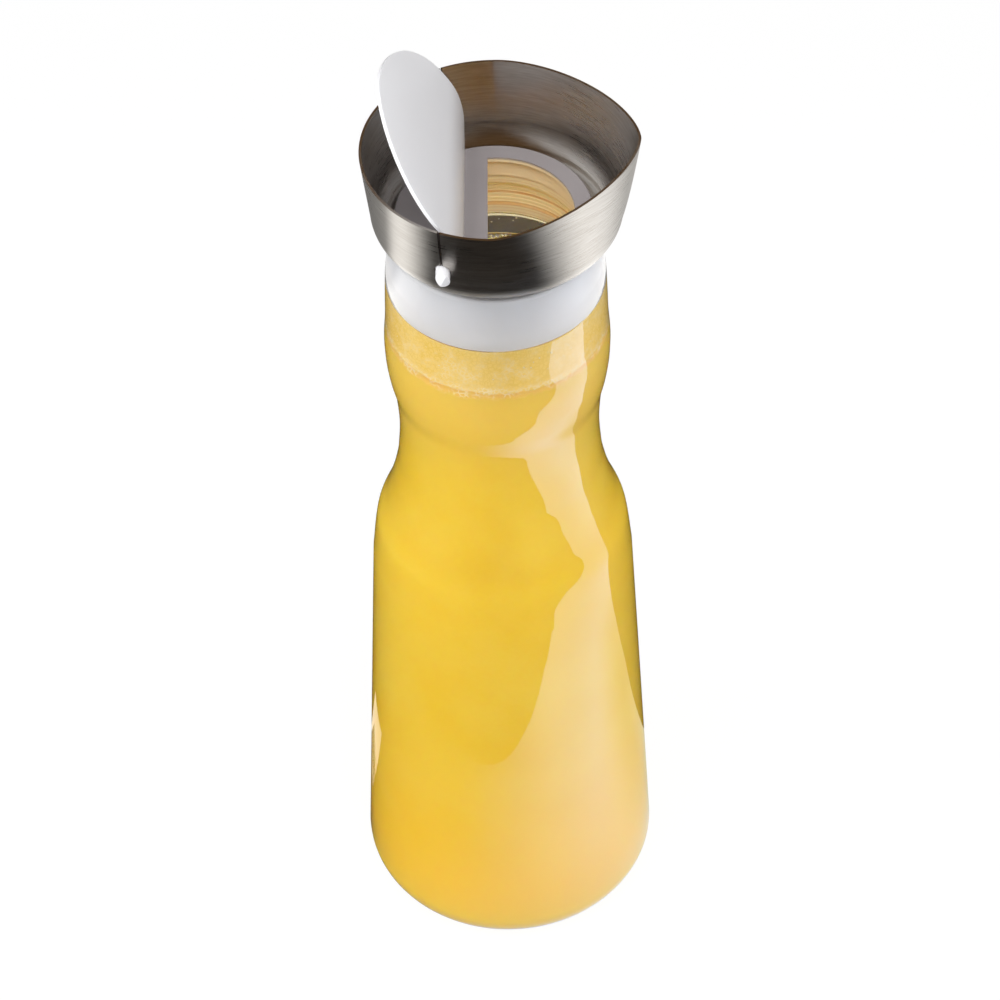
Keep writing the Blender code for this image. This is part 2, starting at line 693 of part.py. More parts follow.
def main():
    """Build the whole carafe."""
    clear_scene()
    group = new_collection("carafe")
    tools = new_collection("carafe_tools")
    clear = new_material("clear_plastic", (0.93, 0.95, 0.95), 0.05, alpha=0.35)
    white = new_material("white_plastic", (0.80, 0.80, 0.83), 0.35)
    grey = new_material("plate_plastic", (0.62, 0.59, 0.60), 0.40)
    steel = new_material("brushed_steel", (0.55, 0.53, 0.50), 0.30, metallic=1.0)
    silicone = new_material("clear_silicone", (0.90, 0.90, 0.88), 0.45, alpha=0.6)
    rubber = new_material("gasket_silicone", (0.75, 0.75, 0.74), 0.60)
    lid = new_material("lid_plastic", (0.82, 0.82, 0.86), 0.30)
    make_bottle(clear, group)
    make_plug(white, group)
    make_lip_seal(silicone, group)
    make_gasket(rubber, group)
    make_collar(steel, group, tools)
    make_pour_plate(grey, group, tools)
    make_flap(lid, group, tools)


main()
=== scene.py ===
"""The looks of the juice carafe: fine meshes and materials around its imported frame.

Each CAD node is replaced by a finer mesh of the same shape and sizes. The drink,
its bubbles and its dried foam are contents and ride on the bottle. Metres, +Z up,
pouring towards +X.
"""
import math
import random

import bmesh
import bpy
from mathutils import Matrix, Vector, noise


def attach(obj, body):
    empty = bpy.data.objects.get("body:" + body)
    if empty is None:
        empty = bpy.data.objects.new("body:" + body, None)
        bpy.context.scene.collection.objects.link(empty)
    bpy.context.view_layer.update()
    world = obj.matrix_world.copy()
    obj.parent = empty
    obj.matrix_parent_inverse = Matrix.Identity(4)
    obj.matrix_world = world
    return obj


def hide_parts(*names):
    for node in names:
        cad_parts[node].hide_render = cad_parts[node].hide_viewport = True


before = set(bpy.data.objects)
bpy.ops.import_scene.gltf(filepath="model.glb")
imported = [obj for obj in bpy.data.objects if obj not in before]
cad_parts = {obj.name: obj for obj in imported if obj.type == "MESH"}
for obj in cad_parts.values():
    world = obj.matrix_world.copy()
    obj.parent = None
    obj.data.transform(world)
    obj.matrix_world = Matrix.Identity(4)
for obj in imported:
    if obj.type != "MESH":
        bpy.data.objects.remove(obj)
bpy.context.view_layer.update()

MM = 0.001
SEAT_GAP = 0.3 * MM
ON_AXIS = 0.003 * MM

# Mesh fineness
TURN = 160
SPAN_STEPS = 9
ARC_STEPS = 12
SHARP_ANGLE = 32.0

# Bottle
FOOT_RADIUS = 50.0 * MM
FOOT_CORNER = 12.0 * MM
FOOT_RING_WIDTH = 5.0 * MM
PUSH_UP = 3.0 * MM
HIP = (43.1 * MM, 155.0 * MM)
WAIST = (32.2 * MM, 216.0 * MM)
BULGE = (35.8 * MM, 253.0 * MM)
THROAT = (33.8 * MM, 287.5 * MM)
MOUTH_HEIGHT = 299.2 * MM
MOUTH_RADIUS = 33.8 * MM
MOUTH_ROUND = 0.3 * MM
BODY_WALL = 2.0 * MM
BASE_WALL = 2.4 * MM
BORE_RADIUS = 32.6 * MM
BORE_DEPTH = 27.6 * MM
BORE_LEAD = 7.0 * MM
shoulder_shares = ((0.25, 0.165), (0.42, 0.50), (0.585, 0.75), (0.76, 0.92))
neck_shares = ((0.36, 0.20), (0.62, 0.70), (0.82, 0.94))
throat_shares = ((0.30, 0.33), (0.60, 0.50), (0.84, 0.70))
dome_power = 1.9

# The drink inside it
JUICE_LEVEL = 258.5 * MM
FOAM_TOP = 264.8 * MM
JUICE_BITE = 0.12 * MM
MENISCUS = 1.0 * MM
MENISCUS_WIDTH = 3.0 * MM
meniscus_power = 2.2
SWELL = 0.35 * MM
SWELL_MARGIN = 0.5 * MM
FROTH_START = JUICE_LEVEL + 1.6 * MM
FROTH_FULL = JUICE_LEVEL + 3.6 * MM
FROTH_RAGGED = 5.0 * MM
FOAM_RINGS = 40
BUBBLES = 420
BUBBLE_SEED = 11
BUBBLE_SIZES = (0.18, 0.42)
BUBBLE_SHORE = 1.6
STRAY_HEIGHTS = (1.5, 9.0)
stray_share = 0.6
raft_share = 0.93
FILM_THICKNESS = 0.22 * MM
FILM_BITE = JUICE_BITE + 0.05 * MM
FILM_RINGS = 24
FILM_FOOT = 260.6 * MM
FILM_CREST = (FILM_FOOT + 1.0 * MM, FILM_FOOT + 3.2 * MM)
# The film's slope at the back: start and span in bore radii, and how ragged
film_slope = (0.05, 0.6, 0.16)

# Plug, seal and gasket
FLANGE_BOTTOM = MOUTH_HEIGHT + SEAT_GAP
FLANGE_TOP = FLANGE_BOTTOM + 1.2 * MM
PLUG_BITE = 0.06 * MM
FLANGE_ROUND = 0.3 * MM
SKIRT_BOTTOM = FLANGE_BOTTOM - 21.3 * MM
TUBE_RADIUS = 29.7 * MM
LEDGE_STEP = 0.8 * MM
LEDGE_HEIGHT = 3.3 * MM
FOOT_BAND_STEP = 0.5 * MM
FOOT_BAND_HEIGHT = 3.6 * MM
GROOVE_DEPTH = 2.6 * MM
RIB_PITCH = 1.5 * MM
RIB_DEPTH = 0.34 * MM
# Painted shade lines in the plug's bore: where they start and their pitch
SHADE_LINE_START = SKIRT_BOTTOM + 3.8 * MM
SHADE_LINE_PITCH = 5.0 * MM
TONGUE_RADIUS = 30.3 * MM
TONGUE_WIDTH = 0.8 * MM
TONGUE_HEIGHT = 2.2 * MM
SEAL_INNER_RADIUS = 29.5 * MM
SEAL_BODY_HEIGHT = 1.2 * MM
LIP_DROP = 2.2 * MM
LIP_WALL = 0.7 * MM
GASKET_INNER_RADIUS = 29.1 * MM
GASKET_WIDTH = 1.4 * MM
GASKET_THICKNESS = 1.0 * MM

# Steel collar
SHEET = 0.8 * MM
COLLAR_BOTTOM = FLANGE_TOP + SEAT_GAP
FLOOR_HOLE_RADIUS = 28.0 * MM
FILLET_RADIUS = 8.5 * MM
WALL_RADIUS = 38.1 * MM
REAR_RIM_RADIUS = 40.5 * MM
REAR_RIM_HEIGHT = 30.9 * MM
LIP_REACH = 45.0 * MM
LIP_SWELL = 1.8 * MM
LIP_RISE = 3.4 * MM
LIP_SQUARENESS = 1.6
lip_bulge_share = 0.3
SLIT_WIDTH = 0.42 * MM
COLLAR_SIDES = 288
WALL_RINGS = 24
FILLET_RINGS = 44
BEAD_RADIUS = 33.0 * MM
BEAD_HALF_WIDTH = 0.75 * MM
BEAD_HEIGHT = 0.32 * MM
CUT_OVERRUN = 2.0 * MM

# Pour plate
PLATE_BOTTOM = COLLAR_BOTTOM + SHEET + SEAT_GAP
PLATE_TOP = PLATE_BOTTOM + 3.4 * MM
PLATE_RADIUS = 30.7 * MM
PLATE_THICKNESS = 1.8 * MM
PLATE_EDGE = 0.4 * MM
SPIGOT_RADIUS = 27.7 * MM
SPIGOT_INNER_RADIUS = 26.7 * MM
SPIGOT_BOTTOM = PLATE_BOTTOM - 5.6 * MM
SNAP_BEAD = 0.4 * MM
SNAP_HEIGHT = 1.2 * MM
SNAP_DROP = 3.2 * MM
OPENING_RADIUS = 24.9 * MM
OPENING_EDGE_X = -2.0 * MM

# Flap, measured closed
FLAP_THICKNESS = 1.1 * MM
FLAP_FRONT_REACH = 31.3 * MM
FLAP_REAR_REACH = 41.0 * MM
FLAP_HALF_WIDTH = 35.2 * MM
FLAP_SQUARENESS = 1.8
FLAP_BEND_X = -12.5 * MM
FLAP_BEND_RADIUS = 26.0 * MM
FLAP_TAIL_LENGTH = 13.8 * MM
FLAP_OPEN_ANGLE = math.radians(123.3)
FLAP_BEND_ANGLE = FLAP_OPEN_ANGLE - math.radians(90.0)
FLAP_TIP_ROWS = 48
HINGE_X = -15.2 * MM
HINGE_RISE = 9.4 * MM
HINGE_HEIGHT = PLATE_TOP + HINGE_RISE
HINGE = (HINGE_X, 0.0, HINGE_HEIGHT)
EAR_FACE = 32.2 * MM
EAR_WIDTH = 1.8 * MM
EAR_RADIUS = 3.4 * MM
EAR_SPREAD = 7.5 * MM
PIN_RADIUS = 2.2 * MM
PIN_CLEARANCE = 0.3 * MM
PIN_END = 39.9 * MM
PIN_SIDES = 40
PIN_NOTCH = 1.6 * MM
SLIT_BEARING = math.atan2(math.sqrt(WALL_RADIUS ** 2 - HINGE_X ** 2), HINGE_X)


def arc(centre, radius, start, end, steps=ARC_STEPS):
    """Points on an arc of a profile, angles in degrees from +radius to +Z."""
    points = []
    for i in range(steps + 1):
        angle = math.radians(start + (end - start) * i / steps)
        points.append((centre[0] + radius * math.cos(angle), centre[1] + radius * math.sin(angle)))
    return points


def between(low, high, shares):
    """Stations between two (radius, height) ends, placed by pairs of shares."""
    return [
        (low[0] + (high[0] - low[0]) * change, low[1] + (high[1] - low[1]) * rise)
        for rise, change in shares
    ]


def station_slopes(stations):
    """Slope of radius over height at each station, so the curve never overshoots."""
    chords = []
    for (low_r, low_z), (high_r, high_z) in zip(stations, stations[1:]):
        chords.append((high_r - low_r) / (high_z - low_z))
    slopes = [chords[0]]
    for before, after in zip(chords, chords[1:]):
        slopes.append(0.0 if before * after <= 0.0 else 2.0 * before * after / (before + after))
    return slopes + [chords[-1]]


def smooth_through(stations):
    """A smooth outline through (radius, height) stations, lowest first."""
    slopes = station_slopes(stations)
    points = [stations[0]]
    for i in range(len(stations) - 1):
        (low_r, low_z), (high_r, high_z) = stations[i], stations[i + 1]
        rise = high_z - low_z
        for step in range(1, SPAN_STEPS + 1):
            t = step / SPAN_STEPS
            radius = (
                low_r * (1.0 + 2.0 * t) * (1.0 - t) ** 2
                + rise * slopes[i] * t * (1.0 - t) ** 2
                + high_r * t * t * (3.0 - 2.0 * t)
                + rise * slopes[i + 1] * t * t * (t - 1.0)
            )
            points.append((radius, low_z + rise * t))
    return points


def bottle_side():
    """The bottle's outside from the top of its foot corner to its mouth."""
    upper = [HIP, *between(HIP, WAIST, shoulder_shares)]
    upper += [WAIST, *between(WAIST, BULGE, neck_shares)]
    upper += [BULGE, *between(BULGE, THROAT, throat_shares), THROAT]
    steps = [(i / SPAN_STEPS, i / SPAN_STEPS) for i in range(SPAN_STEPS)]
    taper = between((FOOT_RADIUS, FOOT_CORNER), HIP, steps)
    return [*taper, *smooth_through(upper), (MOUTH_RADIUS, MOUTH_HEIGHT - MOUTH_ROUND)]


def dome(rim_radius, rim_height, rise):
    """The low dome of the base, from its rim to the axis."""
    points = []
    for i in range(ARC_STEPS + 1):
        out = 1.0 - i / ARC_STEPS
        points.append((rim_radius * out, rim_height + rise * (1.0 - out ** dome_power)))
    return points


def bottle_inside():
    """The bottle's inner outline, from the middle of its floor up to its bore."""
    corner_radius = FOOT_RADIUS - FOOT_CORNER
    wall_radius = FOOT_CORNER - BODY_WALL
    inside = dome(corner_radius - FOOT_RING_WIDTH, BASE_WALL, PUSH_UP)[::-1]
    inside += arc((corner_radius, BASE_WALL + wall_radius), wall_radius, -90.0, 0.0)
    bore_bottom = MOUTH_HEIGHT - BORE_DEPTH
    for radius, height in bottle_side()[1:]:
        if height < bore_bottom - BORE_LEAD:
            inside.append((radius - BODY_WALL, height))
    inside.append((BORE_RADIUS, bore_bottom))
    return inside


def turned_mesh(name, outline, closed):
    """Turn an outline of (radius, height) points about Z into one closed mesh."""
    shape = bmesh.new()
    rings = []
    for radius, height in outline:
        if radius < ON_AXIS:
            rings.append([shape.verts.new((0.0, 0.0, height))] * TURN)
            continue
        points = [round_point(radius, height, math.tau * i / TURN) for i in range(TURN)]
        rings.append([shape.verts.new(point) for point in points])
    following = rings[1:] + ([rings[0]] if closed else [])
    for low, high in zip(rings, following):
        for i in range(TURN):
            j = (i + 1) % TURN
            corners = list(dict.fromkeys((low[i], high[i], high[j], low[j])))
            if len(corners) > 2:
                shape.faces.new(corners)
    bmesh.ops.recalc_face_normals(shape, faces=shape.faces[:])
    return mesh_from(name, shape)


def mesh_from(name, shape):
    """A mesh with the faces of a bmesh, which is freed."""
    mesh = bpy.data.meshes.new(name)
    shape.to_mesh(mesh)
    shape.free()
    return mesh


def placed(name, data):
    """A new object in the scene."""
    item = bpy.data.objects.new(name, data)
    bpy.context.scene.collection.objects.link(item)
    return item


def smooth_but_sharp(mesh):
    """Shade a mesh smooth, with its real corners kept sharp."""
    mesh.shade_smooth()
    mesh.set_sharp_from_angle(angle=math.radians(SHARP_ANGLE))


def add_piece(mesh, material, body, nodes=()):
    """Place a mesh as a piece that rides on a body and stands for CAD nodes."""
    piece = placed(mesh.name, mesh)
    mesh.materials.append(material)
    smooth_but_sharp(mesh)
    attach(piece, body)
    if nodes:
        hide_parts(*nodes)
    return piece


def soften(piece, width, angle=30.0, segments=2):
    """Round a piece's sharp edges."""
    bevel = piece.modifiers.new("soft_edges", "BEVEL")
    bevel.width = width
    bevel.segments = segments
    bevel.limit_method = "ANGLE"
    bevel.angle_limit = math.radians(angle)
    bevel.use_clamp_overlap = True
    bevel.harden_normals = True


def thicken(piece, thickness):
    """Give a sheet its thickness, behind the face that was modelled."""
    sheet = piece.modifiers.new("sheet", "SOLIDIFY")
    sheet.thickness = thickness
    sheet.offset = -1.0
    sheet.use_even_offset = True
    bake_modifiers(piece)


def rod(radius, depth, place, sides):
    """A closed cylinder along the Z axis of its place."""
    shape = bmesh.new()
    bmesh.ops.create_cone(
        shape, cap_ends=True, segments=sides, radius1=radius, radius2=radius, depth=depth, matrix=place,
    )
    return shape


def cut_off(shape, place, normal):
    """Cut away what lies beyond a plane and close the cut."""
    cut = bmesh.ops.bisect_plane(
        shape, geom=shape.verts[:] + shape.edges[:] + shape.faces[:],
        plane_co=place, plane_no=normal, clear_outer=True,
    )
    edges = [item for item in cut["geom_cut"] if isinstance(item, bmesh.types.BMEdge)]
    bmesh.ops.contextual_create(shape, geom=edges)
    bmesh.ops.recalc_face_normals(shape, faces=shape.faces[:])


def cutter(name, shape):
    """A tool for a Boolean, removed once it is applied."""
    return placed(name, mesh_from(name, shape))


def apply_booleans(piece, operation, *tools):
    """Cut or join tools on a piece and keep the result as its mesh."""
    for tool in tools:
        step = piece.modifiers.new(tool.name, "BOOLEAN")
        step.operation = operation
        step.solver = "EXACT"
        step.object = tool
    bake_modifiers(piece)
    for tool in tools:
        bpy.data.objects.remove(tool)


def bake_modifiers(piece):
    """Replace a piece's mesh by what its modifiers make of it."""
    bpy.context.view_layer.update()
    graph = bpy.context.evaluated_depsgraph_get()
    made = bpy.data.meshes.new_from_object(piece.evaluated_get(graph))
    piece.modifiers.clear()
    piece.data = made
    smooth_but_sharp(made)


# Materials

# Painted light: amber for the juice's light in the plug's bore and the plate's spigot, darker in painted
# shade lines
AMBER_LIGHT = (1.0, 0.87, 0.58)
AMBER_SHADE = (0.75, 0.51, 0.23)
JUICE_DEEP = (0.82, 0.58, 0.040)
JUICE_CLOUDY = (0.84, 0.625, 0.074)
JUICE_NECK = (0.85, 0.615, 0.12)
JUICE_FOOT = (0.91, 0.61, 0.05)
JUICE_NECK_START = 205.0 * MM
JUICE_FOOT_END = 115.0 * MM
FROTH = (0.94, 0.63, 0.17)
FROTH_SKIN = (1.0, 0.80, 0.46)
BUBBLE_DEEP = (0.90, 0.72, 0.36)
BUBBLE_PALE = (0.95, 0.86, 0.66)
DRY_FOAM_DEEP = (0.86, 0.60, 0.135)
DRY_FOAM_WARM = (0.88, 0.64, 0.19)
DRY_FOAM_SKIN = (0.98, 0.88, 0.66)
STEEL_DEEP = (0.46, 0.43, 0.395)
STEEL_PALE = (0.60, 0.575, 0.54)
# Colour of the painted shade beside the collar's slits
SLIT_SHADE_DARK = (0.07, 0.045, 0.04)
PLUG_GREY = (0.69, 0.69, 0.715)
PLUG_WHITE = (0.73, 0.73, 0.75)
# Radii inside which the plug gets painted amber juice light
PLUG_LIT_RADII = (TUBE_RADIUS + 0.10 * MM, TUBE_RADIUS + 0.25 * MM)
# Heights and soft edge of the painted amber juice light on the plate's spigot
PLATE_LIT_HEIGHTS = (PLATE_TOP - 1.3 * MM, PLATE_TOP - 0.1 * MM)
LIT_EDGE = 0.15 * MM
# Painted shade beside the slits: how far it reaches and its fade above the pin hole
SLIT_SHADE = (0.28 * MM, 0.48 * MM)
SLIT_SHADE_RISE = 1.0 * MM
PLATE_DEEP = (0.30, 0.272, 0.276)
PLATE_PALE = (0.335, 0.307, 0.311)
FLAP_DEEP = (0.95, 0.95, 0.985)
FLAP_PALE = (0.97, 0.97, 1.0)


class Nodes:
    """Short ways to add and link shader nodes."""

    def __init__(self, name, kind=bpy.data.materials):
        self.made = kind.new(name)
        self.made.use_nodes = True
        self.tree = self.made.node_tree
        self.shader = self.tree.nodes.get("Principled BSDF")
        self.output = self.tree.nodes.get("Material Output")

    def add(self, kind, **settings):
        """A node with its settings."""
        node = self.tree.nodes.new(kind)
        for key, value in settings.items():
            setattr(node, key, value)
        return node

    def feed(self, node, **values):
        """Set or link inputs by name, with spaces as underscores, or by number as i0."""
        for key, value in values.items():
            numbered = key[0] == "i" and key[1:].isdigit()
            socket = node.inputs[int(key[1:]) if numbered else key.replace("_", " ")]
            if isinstance(value, bpy.types.NodeSocket):
                self.tree.links.new(value, socket)
            else:
                socket.default_value = value

    def math(self, operation, first, second=0.0):
        """One operation on numbers or sockets."""
        node = self.add("ShaderNodeMath", operation=operation)
        self.feed(node, i0=first, i1=second)
        return node.outputs[0]

    def plus(self, first, second):
        """The sum of two numbers."""
        return self.math("ADD", first, second)

    def times(self, first, second):
        """The product of two numbers."""
        return self.math("MULTIPLY", first, second)

    def place(self):
        """The point's own place on the piece, in metres."""
        return self.add("ShaderNodeTexCoord").outputs["Object"]

    def split(self, vector):
        """The three numbers of a vector."""
        node = self.add("ShaderNodeSeparateXYZ")
        self.feed(node, i0=vector)
        return node.outputs

    def height(self):
        """The point's own height, in metres."""
        return self.split(self.place())[2]

    def join(self, x, y, z):
        """A vector from three numbers."""
        node = self.add("ShaderNodeCombineXYZ")
        self.feed(node, i0=x, i1=y, i2=z)
        return node.outputs[0]

    def noise(self, scale, detail=2.0, roughness=0.5, vector=None):
        """Grey noise over the piece, or over a vector."""
        node = self.add("ShaderNodeTexNoise")
        vector = self.place() if vector is None else vector
        self.feed(node, Vector=vector, Scale=scale, Detail=detail, Roughness=roughness)
        return node.outputs["Fac"]

    def skins(self, scale, width):
        """The skins of packed bubbles: 1 between two bubbles, 0 well inside one."""
        cells = self.add("ShaderNodeTexVoronoi", feature="DISTANCE_TO_EDGE")
        self.feed(cells, Vector=self.place(), Scale=scale)
        return self.ramp(cells.outputs["Distance"], 0.02, width, 1.0, 0.0)

    def ramp(self, value, low, high, low_out=0.0, high_out=1.0):
        """A number moved smoothly from one range to another and held there."""
        node = self.add("ShaderNodeMapRange", clamp=True, interpolation_type="SMOOTHSTEP")
        self.feed(node, i0=value, i1=low, i2=high, i3=low_out, i4=high_out)
        return node.outputs[0]

    def blend(self, factor, first, second):
        """A mix of two colours."""
        node = self.add("ShaderNodeMix", data_type="RGBA")
        first, second = ((*c, 1.0) if isinstance(c, tuple) else c for c in (first, second))
        self.feed(node, i0=factor, i6=first, i7=second)
        return node.outputs[2]

    def seen(self):
        """1 for rays from the camera, metal and glass, 0 for others."""
        path = self.add("ShaderNodeLightPath").outputs
        share = self.math("MAXIMUM", path["Is Camera Ray"], path["Is Glossy Ray"])
        return self.math("MAXIMUM", share, path["Is Transmission Ray"])

    def show_mix(self, factor, first, second):
        """Show a mix of two shaders."""
        mix = self.add("ShaderNodeMixShader")
        self.feed(mix, i0=factor, i1=first.outputs[0], i2=second.outputs[0])
        self.feed(self.output, Surface=mix.outputs[0])

    def bump(self, height, strength, distance):
        """A normal from a height."""
        node = self.add("ShaderNodeBump")
        self.feed(node, Height=height, Strength=strength, Distance=distance)
        return node.outputs[0]


def polar(nodes):
    """Sockets of a place's distance from the axis, bearing and height."""
    x, y, z = nodes.split(nodes.place())
    radius = nodes.math("SQRT", nodes.plus(nodes.times(x, x), nodes.times(y, y)))
    return radius, nodes.math("ARCTAN2", y, x), z


def let_lamps_through(nodes, tint):
    """Let shadow rays pass a clear surface, so that lamps light what is behind it."""
    path = nodes.add("ShaderNodeLightPath")
    through = nodes.add("ShaderNodeBsdfTransparent")
    nodes.feed(through, Color=(*tint, 1.0))
    nodes.show_mix(path.outputs["Is Shadow Ray"], nodes.shader, through)


def clear_plastic():
    """Polished clear plastic that lets the lamps through to the drink."""
    nodes = Nodes("clear_plastic")
    haze = nodes.noise(38.0, 4.0)
    wave = nodes.noise(14.0, 1.0)
    nodes.feed(
        nodes.shader, Base_Color=(0.97, 0.975, 0.97, 1.0), Transmission_Weight=1.0, IOR=1.46,
        Roughness=nodes.ramp(haze, 0.35, 0.75, 0.012, 0.035),
        Normal=nodes.bump(wave, 0.05, 0.4 * MM),
    )
    let_lamps_through(nodes, (0.97, 0.97, 0.965))
    return nodes.made


def juice():
    """Cloudy orange juice with fine pulp, and a frothy layer on top."""
    nodes = Nodes("juice")
    height = nodes.height()
    cloud = nodes.noise(26.0, 3.0)
    pulp = nodes.noise(900.0, 2.0, 0.7)
    tone = nodes.plus(cloud, nodes.times(pulp, 0.25))
    body = nodes.blend(nodes.ramp(tone, 0.42, 0.86), JUICE_DEEP, JUICE_CLOUDY)
    body = nodes.blend(nodes.ramp(height, JUICE_NECK_START, FILM_FOOT), body, JUICE_NECK)
    body = nodes.blend(nodes.ramp(height, 0.0, JUICE_FOOT_END, 1.0, 0.0), body, JUICE_FOOT)
    ragged = nodes.times(nodes.noise(130.0, 4.0, 0.75), FROTH_RAGGED)
    layer = nodes.ramp(nodes.plus(height, ragged), FROTH_START, FROTH_FULL)
    skins = nodes.skins(620.0, 0.22)
    patches = nodes.ramp(nodes.noise(170.0, 3.0, 0.7), 0.42, 0.66)
    froth = nodes.blend(nodes.times(skins, patches), FROTH, FROTH_SKIN)
    nodes.feed(
        nodes.shader, Base_Color=nodes.blend(layer, body, froth),
        Roughness=0.4, Subsurface_Weight=1.0, Subsurface_Scale=0.028,
        Subsurface_Radius=(0.75, 0.6, 0.18), IOR=1.34,
        Normal=nodes.bump(nodes.plus(pulp, nodes.times(skins, layer)), 0.08, 0.3 * MM),
    )
    return nodes.made


def foam():
    """The thin skins of bubbles at the drink's edge."""
    nodes = Nodes("foam")
    tint = nodes.noise(400.0, 2.0)
    nodes.feed(
        nodes.shader, Base_Color=nodes.blend(tint, BUBBLE_DEEP, BUBBLE_PALE),
        Roughness=0.12, Subsurface_Weight=0.4, Subsurface_Scale=0.003,
        Subsurface_Radius=(1.0, 0.7, 0.3),
    )
    return nodes.made


def film():
    """Dried foam: warm, with paler bubble skins in patches."""
    nodes = Nodes("foam_film")
    skins = nodes.skins(700.0, 0.25)
    patches = nodes.ramp(nodes.noise(150.0, 3.0, 0.7), 0.42, 0.68)
    tint = nodes.ramp(nodes.noise(60.0, 3.0), 0.35, 0.7)
    base = nodes.blend(tint, DRY_FOAM_DEEP, DRY_FOAM_WARM)
    crest = nodes.ramp(nodes.height(), *FILM_CREST, 0.55, 0.0)
    pale = nodes.plus(nodes.times(skins, 0.55), 0.05)
    pale = nodes.times(pale, nodes.plus(nodes.times(patches, 0.6), crest))
    nodes.feed(
        nodes.shader, Base_Color=nodes.blend(pale, base, DRY_FOAM_SKIN),
        Roughness=nodes.ramp(skins, 0.0, 1.0, 0.35, 0.2),
        Normal=nodes.bump(skins, 0.15, 0.2 * MM),
    )
    let_lamps_through(nodes, (0.95, 0.72, 0.38))
    return nodes.made


def white_plastic():
    """The plug's satin white, with painted amber juice light and painted shade lines inside its bore."""
    nodes = Nodes("white_plastic")
    radius, _, height = polar(nodes)
    grain = nodes.noise(1500.0, 2.0)
    cloud = nodes.noise(45.0, 2.0)
    plain = nodes.blend(cloud, PLUG_GREY, PLUG_WHITE)
    # Painted light: amber for the juice's light inside the bore
    lit_share = nodes.ramp(radius, *PLUG_LIT_RADII, 1.0, 0.0)
    above = nodes.math("SUBTRACT", height, SHADE_LINE_START)

    def rings(pitch, low):
        """Painted shade lines, level, at a pitch, thinner with a higher low."""
        return nodes.ramp(nodes.math("COSINE", nodes.times(above, math.tau / pitch)), low, 1.0)

    # Painted shade lines: wide bands at the shade line pitch, fine ones at the ribs
    wide, fine = rings(SHADE_LINE_PITCH, 0.45), rings(RIB_PITCH, 0.0)
    lines = nodes.math("MAXIMUM", wide, nodes.times(fine, 0.35))
    amber = nodes.blend(
        nodes.times(lines, nodes.ramp(cloud, 0.3, 0.7, 0.5, 1.0)), AMBER_LIGHT, AMBER_SHADE
    )
    nodes.feed(
        nodes.shader, Base_Color=nodes.blend(lit_share, plain, amber),
        Roughness=nodes.ramp(cloud, 0.3, 0.7, 0.30, 0.42), Subsurface_Weight=0.7,
        Subsurface_Scale=0.005, Subsurface_Radius=(1.0, 0.95, 0.9),
        Normal=nodes.bump(grain, 0.05, 0.05 * MM),
    )
    return nodes.made


def silicone(name, colour, clear, rough=0.4):
    """Matte silicone, translucent or filled."""
    nodes = Nodes(name)
    grain = nodes.noise(700.0, 3.0)
    nodes.feed(
        nodes.shader, Base_Color=nodes.blend(grain, colour, tuple(c * 0.95 for c in colour)),
        Roughness=nodes.ramp(grain, 0.3, 0.7, rough - 0.06, rough + 0.08),
        Transmission_Weight=clear, IOR=1.41, Normal=nodes.bump(grain, 0.1, 0.05 * MM),
    )
    if clear:
        let_lamps_through(nodes, (0.95, 0.93, 0.88))
    return nodes.made


def brushed_steel():
    """Stainless sheet brushed round the axis, in lines without a seam, with painted shade beside its slits.
    """
    nodes = Nodes("brushed_steel")
    radius, bearing, height = polar(nodes)
    climb = nodes.plus(height, nodes.times(radius, 0.7))
    east, north = nodes.math("COSINE", bearing), nodes.math("SINE", bearing)

    def lines(length, pitch, detail):
        """Noise drawn out round the axis: lines per radian and metres between them."""
        drawn_out = nodes.join(
            nodes.times(east, length), nodes.times(north, length),
            nodes.math("DIVIDE", climb, pitch),
        )
        return nodes.noise(1.0, detail, 0.65, drawn_out)

    coarse, fine = lines(2.2, 1.1 * MM, 3.0), lines(5.0, 0.35 * MM, 2.0)
    grain = nodes.plus(nodes.times(coarse, 0.5), nodes.times(fine, 0.5))
    smear = nodes.noise(30.0, 3.0)
    # Painted shade: the steel darkened beside each slit, above the pin hole
    aside = nodes.math("SINE", nodes.math("SUBTRACT", nodes.math("ABSOLUTE", bearing), SLIT_BEARING))
    aside = nodes.math("ABSOLUTE", nodes.times(aside, radius))
    slit = nodes.times(
        nodes.ramp(aside, *SLIT_SHADE, 1.0, 0.0),
        nodes.ramp(height, HINGE_HEIGHT, HINGE_HEIGHT + SLIT_SHADE_RISE),
    )
    sheen = nodes.blend(nodes.ramp(grain, 0.32, 0.68), STEEL_DEEP, STEEL_PALE)
    tangent = nodes.add("ShaderNodeTangent", direction_type="RADIAL", axis="Z")
    nodes.feed(
        nodes.shader, Base_Color=nodes.blend(slit, sheen, SLIT_SHADE_DARK), Metallic=1.0,
        Roughness=nodes.ramp(nodes.plus(grain, smear), 0.75, 1.3, 0.26, 0.38),
        Anisotropic=0.8, Anisotropic_Rotation=0.25, Tangent=tangent.outputs[0],
        Normal=nodes.bump(grain, 0.12, 0.03 * MM),
    )
    return nodes.made


def moulded(name, low, high, rough, lit_radius=0.0):
    """Satin moulded plastic in soft cloudy tones, with painted amber juice light inside a radius."""
    nodes = Nodes(name)
    radius, _, height = polar(nodes)
    cloud = nodes.noise(60.0, 2.0)
    colour = nodes.blend(cloud, low, high)
    # Painted light: amber juice light on the inner face of the spigot
    if lit_radius:
        lit_share = nodes.times(
            nodes.ramp(radius, lit_radius, lit_radius + LIT_EDGE, 1.0, 0.0),
            nodes.ramp(height, *PLATE_LIT_HEIGHTS, 1.0, 0.0),
        )
        colour = nodes.blend(lit_share, colour, AMBER_LIGHT)
    nodes.feed(
        nodes.shader, Base_Color=colour,
        Roughness=nodes.ramp(cloud, 0.3, 0.7, rough - 0.05, rough + 0.06),
        Subsurface_Weight=0.1, Subsurface_Scale=0.002, Subsurface_Radius=(1.0, 1.0, 1.0),
    )
    return nodes.made


# Pieces


